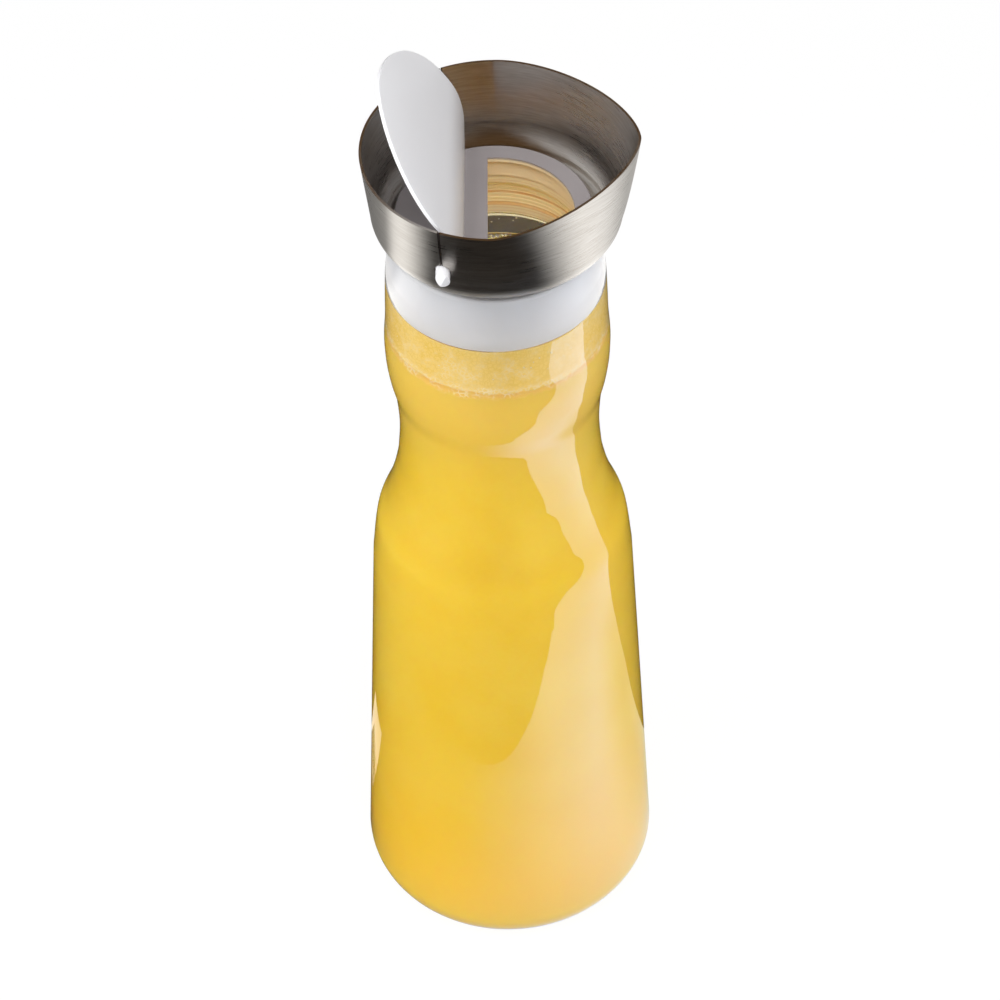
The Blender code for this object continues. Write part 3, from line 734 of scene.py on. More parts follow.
def make_bottle():
    """The clear bottle, in one closed wall."""
    inside = bottle_inside()
    inside.append((BORE_RADIUS, MOUTH_HEIGHT - MOUTH_ROUND))
    inside.append((BORE_RADIUS + MOUTH_ROUND, MOUTH_HEIGHT))
    corner_centre = (FOOT_RADIUS - FOOT_CORNER, FOOT_CORNER)
    outside = [(MOUTH_RADIUS - MOUTH_ROUND, MOUTH_HEIGHT), *bottle_side()[:0:-1]]
    outside += arc(corner_centre, FOOT_CORNER, 0.0, -90.0)
    outside += dome(FOOT_RADIUS - FOOT_CORNER - FOOT_RING_WIDTH, 0.0, PUSH_UP)
    mesh = turned_mesh("bottle_shell", inside + outside, closed=False)
    add_piece(mesh, clear_plastic(), "bottle", ["bottle"])


def wall_radius_at(height):
    """The bottle's inner radius at a height above its foot corner."""
    points = bottle_inside()[2 * (ARC_STEPS + 1):]
    for (low_r, low_z), (high_r, high_z) in zip(points, points[1:]):
        if low_z <= height <= high_z:
            return low_r + (high_r - low_r) * (height - low_z) / (high_z - low_z)
    return BORE_RADIUS


def make_juice():
    """The drink and its foam, pressed a hair into the wall so that no air lies between."""
    top = FOAM_TOP + MENISCUS
    outline = []
    for i, (radius, height) in enumerate(bottle_inside()):
        if height > top - SEAT_GAP:
            break
        lower = JUICE_BITE if height < FOOT_CORNER else 0.0
        outline.append((radius + JUICE_BITE if i else 0.0, height - lower))
    edge = wall_radius_at(top)
    outline.append((edge + JUICE_BITE, top))
    shore = edge - MENISCUS_WIDTH
    for i in range(1, ARC_STEPS + 1):
        out = i / ARC_STEPS
        height = FOAM_TOP + MENISCUS * (1.0 - out) ** meniscus_power
        outline.append((edge - MENISCUS_WIDTH * out, height))
    outline += [(shore * (1.0 - i / FOAM_RINGS), FOAM_TOP) for i in range(1, FOAM_RINGS + 1)]
    mesh = turned_mesh("juice", outline, closed=False)
    for vertex in mesh.vertices:
        place = vertex.co
        if place.z > FOAM_TOP - SEAT_GAP and place.xy.length < edge - SWELL_MARGIN:
            swell = noise.noise(place * 160.0) + 0.6 * noise.noise(place * 520.0)
            place.z += SWELL * swell
    add_piece(mesh, juice(), "bottle")


def make_film():
    """Foam left on the glass between the drink and the plug, lowest at the back."""
    low, high = FILM_FOOT, SKIRT_BOTTOM - FILM_THICKNESS
    start, span, ragged_slope = film_slope
    heights = [low + (high - low) * i / FILM_RINGS for i in range(FILM_RINGS + 1)]
    outline = [(wall_radius_at(height) + FILM_BITE, height) for height in heights]
    outline += [(wall_radius_at(height) - FILM_THICKNESS, height) for height in heights[::-1]]
    mesh = turned_mesh("foam_film", outline, closed=True)
    for vertex in mesh.vertices:
        place = vertex.co
        around = Vector((place.x, place.y, 0.0))
        share = (place.z - low) / (high - low)
        rear = (place.y / BORE_RADIUS - start + ragged_slope * noise.noise(around * 110.0)) / span
        rear = min(max(rear, 0.0), 1.0)
        ragged = noise.noise(around * 210.0) + 0.6 * noise.noise(around * 700.0)
        foot = low + ragged * MM
        top = high - (high - FOAM_TOP - MENISCUS) * rear * rear * (3.0 - 2.0 * rear)
        height = foot + (top - foot) * share
        place.xy += place.xy.normalized() * (wall_radius_at(height) - wall_radius_at(place.z))
        place.z = height
    add_piece(mesh, film(), "bottle")


def make_bubbles():
    """Bubbles: a crowded ring at the wall, rafts on the foam, drops on the glass."""
    draw = random.Random(BUBBLE_SEED)
    shape = bmesh.new()
    for count in range(BUBBLES):
        bearing = draw.uniform(0.0, math.tau)
        crowd = noise.noise(Vector((math.cos(bearing) * 1.7, math.sin(bearing) * 1.7, 3.1)))
        size = draw.uniform(*BUBBLE_SIZES) * MM * (1.0 + max(crowd, 0.0))
        if count % 6 < 3:
            height = FOAM_TOP + MENISCUS * 0.5
            radius = wall_radius_at(height) - abs(draw.gauss(0.0, BUBBLE_SHORE)) * MM - size
        elif count % 6 == 5:
            size *= stray_share
            height = FOAM_TOP + draw.uniform(*STRAY_HEIGHTS) * MM
            radius = wall_radius_at(height) + JUICE_BITE
        else:
            height = FOAM_TOP
            radius = wall_radius_at(height) * math.sqrt(draw.random()) * raft_share
        place = Matrix.Translation(round_point(radius, height, bearing))
        bmesh.ops.create_icosphere(shape, subdivisions=2, radius=size, matrix=place)
    add_piece(mesh_from("bubbles", shape), foam(), "bottle")


def make_plug():
    """The white plug, with fine ribs in its bore."""
    recess_outer = GASKET_INNER_RADIUS + GASKET_WIDTH + SEAT_GAP
    recess_inner = GASKET_INNER_RADIUS - SEAT_GAP
    recess_floor = FLANGE_TOP - GASKET_THICKNESS - SEAT_GAP
    groove_inner = TONGUE_RADIUS - SEAT_GAP
    groove_outer = TONGUE_RADIUS + TONGUE_WIDTH + SEAT_GAP
    groove_top = SKIRT_BOTTOM + GROOVE_DEPTH
    socket_radius = SPIGOT_RADIUS + SEAT_GAP
    ledge_radius = socket_radius - LEDGE_STEP
    ledge_top = SPIGOT_BOTTOM - SEAT_GAP
    ledge_bottom = ledge_top - LEDGE_HEIGHT
    band_radius = TUBE_RADIUS - FOOT_BAND_STEP
    band_top = SKIRT_BOTTOM + FOOT_BAND_HEIGHT
    snap_top = PLATE_BOTTOM - SNAP_DROP + SEAT_GAP
    snap_bottom = snap_top - SNAP_HEIGHT - 2.0 * SEAT_GAP
    outline = [
        (recess_outer, FLANGE_TOP),
        (MOUTH_RADIUS - FLANGE_ROUND, FLANGE_TOP),
        (MOUTH_RADIUS, FLANGE_TOP - FLANGE_ROUND),
        (MOUTH_RADIUS, MOUTH_HEIGHT),
        (MOUTH_RADIUS - FLANGE_ROUND, MOUTH_HEIGHT - PLUG_BITE),
        (BORE_RADIUS + PLUG_BITE, MOUTH_HEIGHT - PLUG_BITE),
        (BORE_RADIUS + PLUG_BITE, SKIRT_BOTTOM + FLANGE_ROUND),
        (BORE_RADIUS + PLUG_BITE - FLANGE_ROUND, SKIRT_BOTTOM),
        (groove_outer, SKIRT_BOTTOM),
        (groove_outer, groove_top),
        (groove_inner, groove_top),
        (groove_inner, SKIRT_BOTTOM),
        (band_radius, SKIRT_BOTTOM),
        (band_radius, band_top),
        (TUBE_RADIUS, band_top + FOOT_BAND_STEP),
    ]
    rib_top = ledge_bottom - (TUBE_RADIUS - ledge_radius)
    height = band_top + FOOT_BAND_STEP + RIB_PITCH / 2.0
    while height < rib_top - RIB_PITCH / 2.0:
        outline.append((TUBE_RADIUS, height - RIB_DEPTH))
        outline.append((TUBE_RADIUS - RIB_DEPTH, height))
        outline.append((TUBE_RADIUS, height + RIB_DEPTH))
        height += RIB_PITCH
    outline += [
        (TUBE_RADIUS, rib_top),
        (ledge_radius, ledge_bottom),
        (ledge_radius, ledge_top),
        (socket_radius, ledge_top),
        (socket_radius, snap_bottom - SNAP_BEAD),
        (socket_radius + SNAP_BEAD, snap_bottom),
        (socket_radius + SNAP_BEAD, snap_top),
        (socket_radius, snap_top + SNAP_BEAD),
        (socket_radius, FLANGE_TOP),
        (recess_inner, FLANGE_TOP),
        (recess_inner, recess_floor),
        (recess_outer, recess_floor),
    ]
    mesh = turned_mesh("plug_body", outline, closed=True)
    piece = add_piece(mesh, white_plastic(), "head", ["neck_plug"])
    soften(piece, 0.12 * MM)


def make_seal():
    """The clear lip seal under the plug."""
    top = SKIRT_BOTTOM - SEAT_GAP
    underside = top - SEAL_BODY_HEIGHT
    lip_radius = BORE_RADIUS - SEAT_GAP
    outline = [
        (TONGUE_RADIUS, top + TONGUE_HEIGHT),
        (TONGUE_RADIUS + TONGUE_WIDTH, top + TONGUE_HEIGHT),
        (TONGUE_RADIUS + TONGUE_WIDTH, top),
        (lip_radius - LIP_WALL, top),
        (lip_radius, underside - LIP_DROP),
        (lip_radius - LIP_WALL, underside - LIP_DROP),
        (lip_radius - 2.0 * LIP_WALL, underside),
        (SEAL_INNER_RADIUS, underside),
        (SEAL_INNER_RADIUS, top),
        (TONGUE_RADIUS, top),
    ]
    mesh = turned_mesh("seal_ring", outline, closed=True)
    # Painted light: the amber tint stands in for the juice's light on the clear seal
    finish = silicone("clear_silicone", (0.96, 0.83, 0.52), 1.0, 0.12)
    piece = add_piece(mesh, finish, "seal", ["lip_seal"])
    soften(piece, 0.12 * MM)


def make_gasket():
    """The flat gasket under the steel."""
    outer = GASKET_INNER_RADIUS + GASKET_WIDTH
    bottom = FLANGE_TOP - GASKET_THICKNESS
    outline = [
        (outer, FLANGE_TOP), (outer, bottom),
        (GASKET_INNER_RADIUS, bottom), (GASKET_INNER_RADIUS, FLANGE_TOP),
    ]
    mesh = turned_mesh("gasket_ring", outline, closed=True)
    finish = silicone("gasket_silicone", (0.75, 0.75, 0.74), 0.0)
    piece = add_piece(mesh, finish, "head", ["collar_gasket"])
    soften(piece, 0.15 * MM)


def rim_point(angle):
    """The collar's rim in plan: a half circle behind, a blunt point in front."""
    ahead = math.cos(angle) > 0.0
    reach = LIP_REACH if ahead else REAR_RIM_RADIUS
    power = LIP_SQUARENESS if ahead else 2.0
    across = abs(math.cos(angle)) ** (2.0 / power)
    along = abs(math.sin(angle)) ** (2.0 / power)
    x = math.copysign(reach * across, math.cos(angle))
    y = math.copysign(REAR_RIM_RADIUS * along, math.sin(angle))
    rise = LIP_RISE * max(x, 0.0) / LIP_REACH
    return Vector((x, y, COLLAR_BOTTOM + REAR_RIM_HEIGHT + rise))


def round_point(radius, height, bearing):
    """A place given by its radius, height and bearing about the bottle's axis."""
    return Vector((radius * math.cos(bearing), radius * math.sin(bearing), height))


def wall_point(low, rim, share):
    """A place on the flared wall, which is fuller below the lip."""
    fullness = 1.0 - lip_bulge_share * max(rim.x, 0.0) / LIP_REACH
    point = low.lerp(rim, share ** fullness)
    point.z = low.z + (rim.z - low.z) * share
    return point


def collar_rings():
    """Rings of the collar's outer skin, from the floor hole to the rim."""
    rims = [rim_point(math.tau * i / COLLAR_SIDES) for i in range(COLLAR_SIDES)]
    bearings = [math.atan2(rim.y, rim.x) for rim in rims]
    rings = [[round_point(FLOOR_HOLE_RADIUS, COLLAR_BOTTOM, bearing) for bearing in bearings]]
    centre = (WALL_RADIUS - FILLET_RADIUS, COLLAR_BOTTOM + FILLET_RADIUS)
    for radius, height in arc(centre, FILLET_RADIUS, -90.0, 0.0, FILLET_RINGS):
        ring = []
        bead = BEAD_HEIGHT * math.exp(-((radius - BEAD_RADIUS) / BEAD_HALF_WIDTH) ** 2)
        for bearing in bearings:
            swell = LIP_SWELL * max(math.cos(bearing), 0.0) ** 2
            ring.append(round_point(radius + swell, height + bead, bearing))
        rings.append(ring)
    base = rings[-1]
    for step in range(1, WALL_RINGS + 1):
        rings.append([wall_point(low, rim, step / WALL_RINGS) for low, rim in zip(base, rims)])
    return rings


def pin_hole_tool():
    """One long round cutter for both pin holes, along the hinge."""
    place = Matrix.Translation(HINGE) @ Matrix.Rotation(math.radians(90.0), 4, "X")
    depth = 2.0 * (REAR_RIM_RADIUS + CUT_OVERRUN)
    return cutter("pin_hole_tool", rod(PIN_RADIUS + PIN_CLEARANCE, depth, place, PIN_SIDES))


def slit_tool(side):
    """A thin upright cutter from a pin hole to the rim, square to the wall."""
    height = COLLAR_BOTTOM + REAR_RIM_HEIGHT + CUT_OVERRUN - HINGE_HEIGHT
    depth = 2.0 * (REAR_RIM_RADIUS - WALL_RADIUS + SHEET + CUT_OVERRUN)
    shape = bmesh.new()
    turn = Matrix.Rotation(side * SLIT_BEARING, 4, "Z")
    size = Matrix.Diagonal((depth, SLIT_WIDTH, height, 1.0))
    place = Matrix.Translation((WALL_RADIUS, 0.0, HINGE_HEIGHT + height / 2.0))
    bmesh.ops.create_cube(shape, size=1.0, matrix=turn @ place @ size)
    return cutter("slit_tool", shape)


def make_collar():
    """The steel collar: a dished floor, a flared wall, a lip, two slit pin holes."""
    shape = bmesh.new()
    rings = [[shape.verts.new(point) for point in ring] for ring in collar_rings()]
    for low, high in zip(rings, rings[1:]):
        for i in range(COLLAR_SIDES):
            j = (i + 1) % COLLAR_SIDES
            shape.faces.new((low[i], low[j], high[j], high[i]))
    mesh = mesh_from("collar_sheet", shape)
    piece = add_piece(mesh, brushed_steel(), "head", ["pour_collar"])
    thicken(piece, SHEET)
    apply_booleans(piece, "DIFFERENCE", pin_hole_tool(), slit_tool(-1.0), slit_tool(1.0))
    soften(piece, 0.14 * MM, 40.0)


def make_plate():
    """The pour plate with its D-shaped hole and snap-in spigot."""
    underside = PLATE_TOP - PLATE_THICKNESS
    snap_top = PLATE_BOTTOM - SNAP_DROP
    outline = [
        (0.0, PLATE_TOP),
        (PLATE_RADIUS - PLATE_EDGE, PLATE_TOP),
        (PLATE_RADIUS, PLATE_TOP - PLATE_EDGE),
        (PLATE_RADIUS, PLATE_BOTTOM),
        (SPIGOT_RADIUS, PLATE_BOTTOM),
        (SPIGOT_RADIUS, snap_top + SNAP_BEAD),
        (SPIGOT_RADIUS + SNAP_BEAD, snap_top),
        (SPIGOT_RADIUS + SNAP_BEAD, snap_top - SNAP_HEIGHT),
        (SPIGOT_RADIUS, snap_top - SNAP_HEIGHT - SNAP_BEAD),
        (SPIGOT_RADIUS, SPIGOT_BOTTOM),
        (SPIGOT_INNER_RADIUS, SPIGOT_BOTTOM),
        (SPIGOT_INNER_RADIUS, underside),
        (0.0, underside),
    ]
    mesh = turned_mesh("plate_disc", outline, closed=False)
    # Radius inside which the plate gets painted amber juice light
    lit_radius = SPIGOT_INNER_RADIUS + 0.1 * MM
    finish = moulded("plate_plastic", PLATE_DEEP, PLATE_PALE, 0.42, lit_radius)
    piece = add_piece(mesh, finish, "head", ["pour_plate"])
    depth = 2.0 * (PLATE_THICKNESS + CUT_OVERRUN)
    shape = rod(OPENING_RADIUS, depth, Matrix.Translation((0.0, 0.0, PLATE_TOP)), TURN)
    cut_off(shape, (OPENING_EDGE_X, 0.0, 0.0), (-1.0, 0.0, 0.0))
    apply_booleans(piece, "DIFFERENCE", cutter("opening_tool", shape))
    soften(piece, 0.25 * MM, 40.0, 3)


def flap_half_width(x):
    """Half of the flap's width in plan at a place behind its widest line."""
    return FLAP_HALF_WIDTH * math.sqrt(1.0 - (x / FLAP_REAR_REACH) ** 2)


def flap_rows():
    """Rows of (x, half width, z) over the closed flap's underside, tail to tip."""
    level = PLATE_TOP + SEAT_GAP
    tangent = FLAP_BEND_RADIUS * math.tan(FLAP_BEND_ANGLE / 2.0)
    places = []
    for i in range(ARC_STEPS):
        along = FLAP_TAIL_LENGTH + (tangent - FLAP_TAIL_LENGTH) * i / ARC_STEPS
        x = FLAP_BEND_X - along * math.cos(FLAP_BEND_ANGLE)
        places.append((x, level + along * math.sin(FLAP_BEND_ANGLE)))
    for i in range(ARC_STEPS + 1):
        turn = FLAP_BEND_ANGLE * (1.0 - i / ARC_STEPS)
        x = FLAP_BEND_X + tangent - FLAP_BEND_RADIUS * math.sin(turn)
        places.append((x, level + FLAP_BEND_RADIUS * (1.0 - math.cos(turn))))
    start = places[-1][0]
    places += [(start * (1.0 - i / ARC_STEPS), level) for i in range(1, ARC_STEPS)]
    rows = [(x, flap_half_width(x), z) for x, z in places]
    for i in range(FLAP_TIP_ROWS):
        angle = math.radians(90.0) * i / FLAP_TIP_ROWS
        x = FLAP_FRONT_REACH * math.sin(angle) ** (2.0 / FLAP_SQUARENESS)
        half_width = FLAP_HALF_WIDTH * math.cos(angle) ** (2.0 / FLAP_SQUARENESS)
        rows.append((x, half_width, level))
    return rows


def opened():
    """The turn that takes the closed flap to its open place."""
    hinge = Matrix.Translation(HINGE)
    return hinge @ Matrix.Rotation(-FLAP_OPEN_ANGLE, 4, "Y") @ hinge.inverted()


def ear_tool(side):
    """A gusset on the flap that carries a stub pin."""
    middle = FLAP_THICKNESS / 2.0
    level = SEAT_GAP - HINGE_RISE
    bend_x = FLAP_BEND_X - HINGE_X
    sine, cosine = math.sin(FLAP_BEND_ANGLE), math.cos(FLAP_BEND_ANGLE)
    bend_rise = FLAP_BEND_RADIUS * (1.0 / math.cos(FLAP_BEND_ANGLE / 2.0) - 1.0)
    feet = [
        (bend_x - EAR_SPREAD * cosine + sine * middle, level + EAR_SPREAD * sine + cosine * middle),
        (bend_x, level + bend_rise + middle),
        (bend_x + EAR_SPREAD, level + middle),
    ]
    boss = arc((0.0, 0.0), EAR_RADIUS, 0.0, 360.0, PIN_SIDES)[:-1]
    shape = bmesh.new()
    for y in (side * EAR_FACE, side * (EAR_FACE - EAR_WIDTH)):
        for x, z in feet + boss:
            shape.verts.new((x + HINGE_X, y, z + HINGE_HEIGHT))
    hull = bmesh.ops.convex_hull(shape, input=shape.verts[:])
    bmesh.ops.delete(shape, geom=hull["geom_interior"], context="VERTS")
    bmesh.ops.transform(shape, matrix=opened(), verts=shape.verts[:])
    return cutter("ear_tool", shape)


def pin_tool(side):
    """A stub pin whose end is cut on the slant to spring into its hole."""
    root = EAR_FACE - EAR_WIDTH / 2.0
    turn = Matrix.Rotation(math.radians(-90.0) * side, 4, "X")
    middle = Matrix.Translation((HINGE_X, side * (root + PIN_END) / 2.0, HINGE_HEIGHT))
    shape = rod(PIN_RADIUS, PIN_END - root, middle @ turn, PIN_SIDES)
    start = (HINGE_X - PIN_RADIUS, side * (PIN_END - PIN_NOTCH), HINGE_HEIGHT)
    cut_off(shape, start, Vector((-0.55, side * 0.8, 0.25)).normalized())
    return cutter("pin_tool", shape)


def make_flap():
    """The rocking flap, a bent sheet with an ear and a stub pin on each side."""
    shape = bmesh.new()
    pairs = []
    for x, half_width, z in flap_rows():
        pairs.append((shape.verts.new((x, -half_width, z)), shape.verts.new((x, half_width, z))))
    for (front, back), (next_front, next_back) in zip(pairs, pairs[1:]):
        shape.faces.new((front, back, next_back, next_front))
    tip = shape.verts.new((FLAP_FRONT_REACH, 0.0, PLATE_TOP + SEAT_GAP))
    shape.faces.new((pairs[-1][0], pairs[-1][1], tip))
    bmesh.ops.transform(shape, matrix=opened(), verts=shape.verts[:])
    mesh = mesh_from("flap_sheet", shape)
    finish = moulded("lid_plastic", FLAP_DEEP, FLAP_PALE, 0.38)
    piece = add_piece(mesh, finish, "flap", ["flap_lid"])
    thicken(piece, FLAP_THICKNESS)
    tools = [tool(side) for side in (-1.0, 1.0) for tool in (ear_tool, pin_tool)]
    apply_booleans(piece, "UNION", *tools)
    soften(piece, 0.3 * MM, 40.0, 3)


# Studio

WHITE = (1.0, 1.0, 1.0, 1.0)
WORLD_LIGHT = 0.25
FLOOR_WHITE = (0.92, 0.92, 0.92)
FLOOR_GLOW = 1.05
floor_lamp_share = 0.12
floor_bounce_share = 0.7
DARK = (0.030, 0.024, 0.018)
WARM_DARK = (0.14, 0.078, 0.034)
REAR_DARK = (0.06, 0.055, 0.05)
FRONT_FLAG = (-0.018, 0.018, -0.068, -0.0388, 0.31)
TABLE_HEIGHT = 0.4 * MM
ROOM_REACH = 1.3
ROOM_FRONT = -1.5
ROOM_HEIGHT = 1.6
CEILING_REACH = 0.9
PANEL_LIGHT = (1.65, 2.1, 3.05)
PANEL_WARM = (1.8, 1.75, 1.35)
LEFT_PANEL_LIGHT = (1.0, 0.93, 0.8)
PANEL_HEIGHT = 0.8 * MM
PANEL_FADE = (-0.08, 0.11)
REAR_FLAG = (-0.09, 0.09, 0.15, 0.45, PANEL_HEIGHT)
foot_dimming = 0.55
RIGHT_PANEL = (
    (-0.075, -0.12), (-0.03, -0.135), (0.03, -0.15), (0.10, -0.162), (0.17, -0.198), (0.30, -0.21),
    (1.2, -0.40), (1.2, 0.06), (0.38, 0.03), (0.20, 0.018), (0.13, 0.043), (0.076, 0.047), (-0.075, 0.047),
)
LEFT_PANEL = ((-0.095, 0.028), (-0.06, 0.020), (-0.055, 0.05), (-0.085, 0.06))
RING_LIGHT = (1.56, 1.55, 1.52)
RING_HEIGHT = 277.0 * MM
RING_INNER = 36.5 * MM
RING_OUTER = 300.0 * MM
RING_NEAR_WIDTH = 16.0 * MM
# Ramps over the bearing in radians: from, to, and the light at both ends
RIGHT_GLOW = ((-1.10, -0.40, 0.0, 1.0), (-0.38, 0.42, 1.0, 0.4), (1.2, 2.4, 1.0, 0.3))
LEFT_GLOW = ((-2.80, -2.30, 1.0, 0.0), (-3.14, -2.90, 0.2, 1.0), (-0.1, 0.1, 1.0, 0.0))
REAR_GLOW = (2.7, 3.14, 0.0, 0.08)
NEAR_GLOW = (0.35, 0.01)
# Area lamps: name, place, width and height, brightness
LAMPS = (
    ("right_box", (0.34, -0.36, 1.20), (0.6, 0.6), 2.4),
    ("left_box", (-0.50, -0.34, 0.95), (0.6, 0.6), 2.8),
    ("top_box", (0.0, -0.25, 1.30), (0.8, 0.8), 1.65),
    ("front_box", (0.12, -0.62, 1.15), (0.4, 0.4), 5.2),
    ("right_low_box", (0.50, -0.22, 0.12), (0.5, 0.25), 2.2),
    ("left_low_box", (-0.50, -0.22, 0.12), (0.5, 0.25), 2.8),
)
LAMP_AIM = (0.0, 0.0, 0.25)

CAMERA_PLACE = Vector((0.0, -0.9300, 1.1764))
CAMERA_LENS = 149.1387
CAMERA_PITCH = math.radians(47.0939)
CAMERA_YAW = math.radians(-0.03351)
CAMERA_ROLL = math.radians(-1.53136)
CAMERA_SWING = math.radians(0.96)


def make_camera():
    """The photograph's viewing angle."""
    ahead = Vector((
        math.sin(CAMERA_YAW) * math.cos(CAMERA_PITCH),
        math.cos(CAMERA_YAW) * math.cos(CAMERA_PITCH),
        -math.sin(CAMERA_PITCH),
    ))
    right = Vector((math.cos(CAMERA_YAW), -math.sin(CAMERA_YAW), 0.0))
    up = right.cross(ahead)
    across = right * math.cos(CAMERA_ROLL) + up * math.sin(CAMERA_ROLL)
    over = up * math.cos(CAMERA_ROLL) - right * math.sin(CAMERA_ROLL)
    turn = Matrix((across, over, -ahead)).transposed().to_4x4()
    data = bpy.data.cameras.new("camera")
    data.sensor_width = 36.0
    data.lens = CAMERA_LENS
    camera = placed("camera", data)
    camera.matrix_world = Matrix.Rotation(CAMERA_SWING, 4, "Z") @ Matrix.Translation(CAMERA_PLACE) @ turn
    bpy.context.scene.camera = camera


def floor_shader():
    """A surface that is white to the camera, metal and glass, and keeps a shadow."""
    nodes = Nodes("floor_white")
    path = nodes.add("ShaderNodeLightPath")
    glow = nodes.add("ShaderNodeEmission")
    nodes.feed(glow, Color=WHITE, Strength=FLOOR_GLOW)
    dim = tuple(level * floor_bounce_share for level in FLOOR_WHITE)
    colour = nodes.blend(path.outputs["Is Diffuse Ray"], FLOOR_WHITE, dim)
    nodes.feed(nodes.shader, Base_Color=colour, Roughness=0.9)
    nodes.show_mix(nodes.times(nodes.seen(), 1.0 - floor_lamp_share), nodes.shader, glow)
    return nodes.made


def make_floor():
    """A wide white floor."""
    shape = bmesh.new()
    bmesh.ops.create_grid(shape, x_segments=1, y_segments=1, size=4.0)
    mesh = mesh_from("floor", shape)
    floor = placed("floor", mesh)
    floor.location.z = -0.2 * MM
    mesh.materials.append(floor_shader())


def make_world():
    """A plain world, white where it is seen and softer where it lights."""
    nodes = Nodes("world", bpy.data.worlds)
    bpy.context.scene.world = nodes.made
    strength = nodes.ramp(nodes.seen(), 0.0, 1.0, WORLD_LIGHT, 1.0)
    nodes.feed(nodes.tree.nodes["Background"], Color=WHITE, Strength=strength)


def softbox(name, place, size, brightness):
    """An area lamp of a given brightness that lights but isn't mirrored."""
    data = bpy.data.lights.new(name, "AREA")
    data.shape = "RECTANGLE"
    data.size, data.size_y = size
    data.energy = brightness * math.pi * size[0] * size[1]
    lamp = placed(name, data)
    lamp.location = place
    lamp.rotation_euler = (Vector(LAMP_AIM) - Vector(place)).to_track_quat("-Z", "Y").to_euler()
    lamp.visible_glossy = False
    lamp.visible_transmission = False


def card(name, outlines, colour, glossy=True, through=False, strength=None):
    """Staged card of one or more faces that only gloss, or only clear plastic, sees."""
    shape = bmesh.new()
    for corners in outlines:
        shape.faces.new([shape.verts.new(corner) for corner in corners])
    mesh = mesh_from(name, shape)
    nodes = Nodes(name)
    glow = nodes.add("ShaderNodeEmission")
    colour = colour(nodes) if callable(colour) else (*colour, 1.0)
    nodes.feed(glow, Color=colour, Strength=strength(nodes) if strength else 1.0)
    nodes.feed(nodes.output, Surface=glow.outputs[0])
    mesh.materials.append(nodes.made)
    panel = placed(name, mesh)
    for ray in ("camera", "diffuse", "shadow", "volume_scatter"):
        setattr(panel, "visible_" + ray, False)
    panel.visible_glossy = glossy
    panel.visible_transmission = through
    return panel


def stacked(nodes, value, ramps):
    """Ramps of one value, multiplied."""
    share = nodes.ramp(value, *ramps[0])
    for ramp in ramps[1:]:
        share = nodes.times(share, nodes.ramp(value, *ramp))
    return share


def round_the_collar(nodes):
    """Bright to the right and the left of the collar, dark in front of it."""
    radius, bearing, _ = polar(nodes)
    right, left = stacked(nodes, bearing, RIGHT_GLOW), stacked(nodes, bearing, LEFT_GLOW)
    rear = nodes.ramp(bearing, *REAR_GLOW)
    beside = nodes.ramp(radius, RING_INNER, RING_INNER + RING_NEAR_WIDTH, *NEAR_GLOW)
    return nodes.plus(nodes.plus(beside, rear), nodes.plus(right, left))


def beside_the_foot(nodes):
    """Share of 1 next to the bottle's foot at the right, 0 away from it."""
    x, y, _ = nodes.split(nodes.place())
    return nodes.times(nodes.ramp(y, -0.06, 0.03), nodes.ramp(x, 0.12, 0.25, 1.0, 0.0))


def panel_tint(nodes):
    """Cool, but warm beside the foot."""
    return nodes.blend(beside_the_foot(nodes), PANEL_LIGHT, PANEL_WARM)


def toward_the_foot(nodes):
    """Full at the right, gone at the left, weaker beside the bottle's foot."""
    x = nodes.split(nodes.place())[0]
    weaker = nodes.times(beside_the_foot(nodes), -foot_dimming)
    return nodes.times(nodes.ramp(x, *PANEL_FADE), nodes.plus(weaker, 1.0))


def floor_card(name, x0, x1, y0, y1, z, colour, **sees):
    """A level card."""
    return card(name, [((x0, y0, z), (x1, y0, z), (x1, y1, z), (x0, y1, z))], colour, **sees)


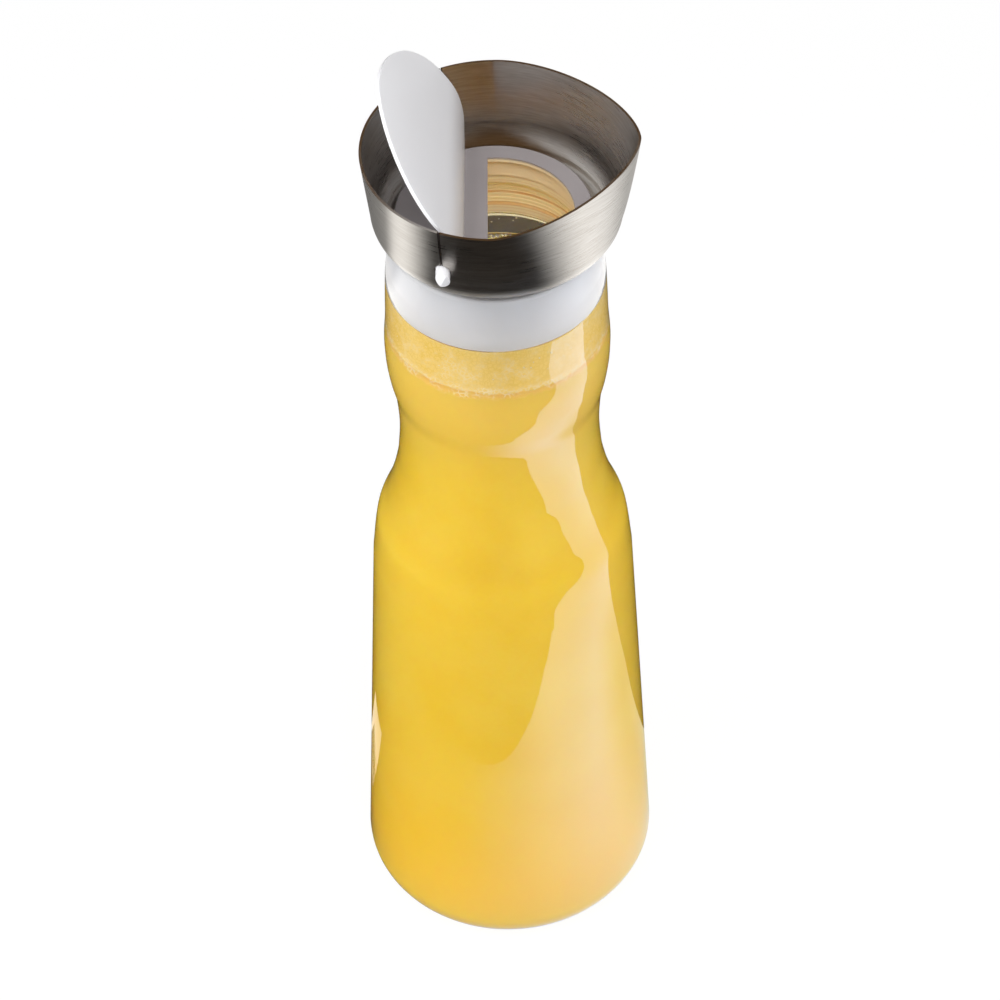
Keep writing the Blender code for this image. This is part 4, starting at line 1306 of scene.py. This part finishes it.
def wall_card(name, y, x0, x1, z0, z1, colour, **sees):
    """An upright card across the view."""
    return card(name, [((x0, y, z0), (x1, y, z0), (x1, y, z1), (x0, y, z1))], colour, **sees)


def ring_card():
    """A level ring just under the collar, which only the collar and what is above mirror."""
    steps = TURN // 4
    outlines = []
    for i in range(steps):
        bearings = (math.tau * i / steps, math.tau * (i + 1) / steps)
        inner = [round_point(RING_INNER, RING_HEIGHT, bearing) for bearing in bearings]
        outer = [round_point(RING_OUTER, RING_HEIGHT, bearing) for bearing in bearings]
        outlines.append((*inner, *outer[::-1]))
    card("collar_ring", outlines, RING_LIGHT, strength=round_the_collar)


def make_studio():
    """Soft light from both sides and above, with flags that the steel mirrors."""
    make_world()
    make_floor()
    for lamp in LAMPS:
        softbox(*lamp)
    flag = floor_card("front_flag", *FRONT_FLAG, DARK, glossy=False)
    flag.visible_shadow = True
    flag.visible_diffuse = True
    floor_card("dark_table", -ROOM_REACH, ROOM_REACH, ROOM_FRONT, ROOM_REACH, TABLE_HEIGHT, DARK)
    floor_card("dark_ceiling", -CEILING_REACH, CEILING_REACH, ROOM_FRONT, ROOM_REACH, ROOM_HEIGHT, WARM_DARK)
    wall_card("dark_front", ROOM_FRONT, -ROOM_REACH, ROOM_REACH, 0.0, ROOM_HEIGHT, WARM_DARK)
    wall_card("dark_back", ROOM_REACH, -ROOM_REACH, ROOM_REACH, 0.0, ROOM_HEIGHT, WARM_DARK)
    right = [(x, y, PANEL_HEIGHT) for x, y in RIGHT_PANEL]
    card("right_panel", [right], panel_tint, strength=toward_the_foot)
    ring_card()
    card("left_panel", [[(x, y, PANEL_HEIGHT) for x, y in LEFT_PANEL]], LEFT_PANEL_LIGHT)
    floor_card("rear_flag", *REAR_FLAG, REAR_DARK, glossy=False, through=True)


make_bottle()
make_juice()
make_film()
make_bubbles()
make_plug()
make_seal()
make_gasket()
make_collar()
make_plate()
make_flap()
make_camera()
make_studio()
bpy.context.scene.view_settings.view_transform = "Standard"
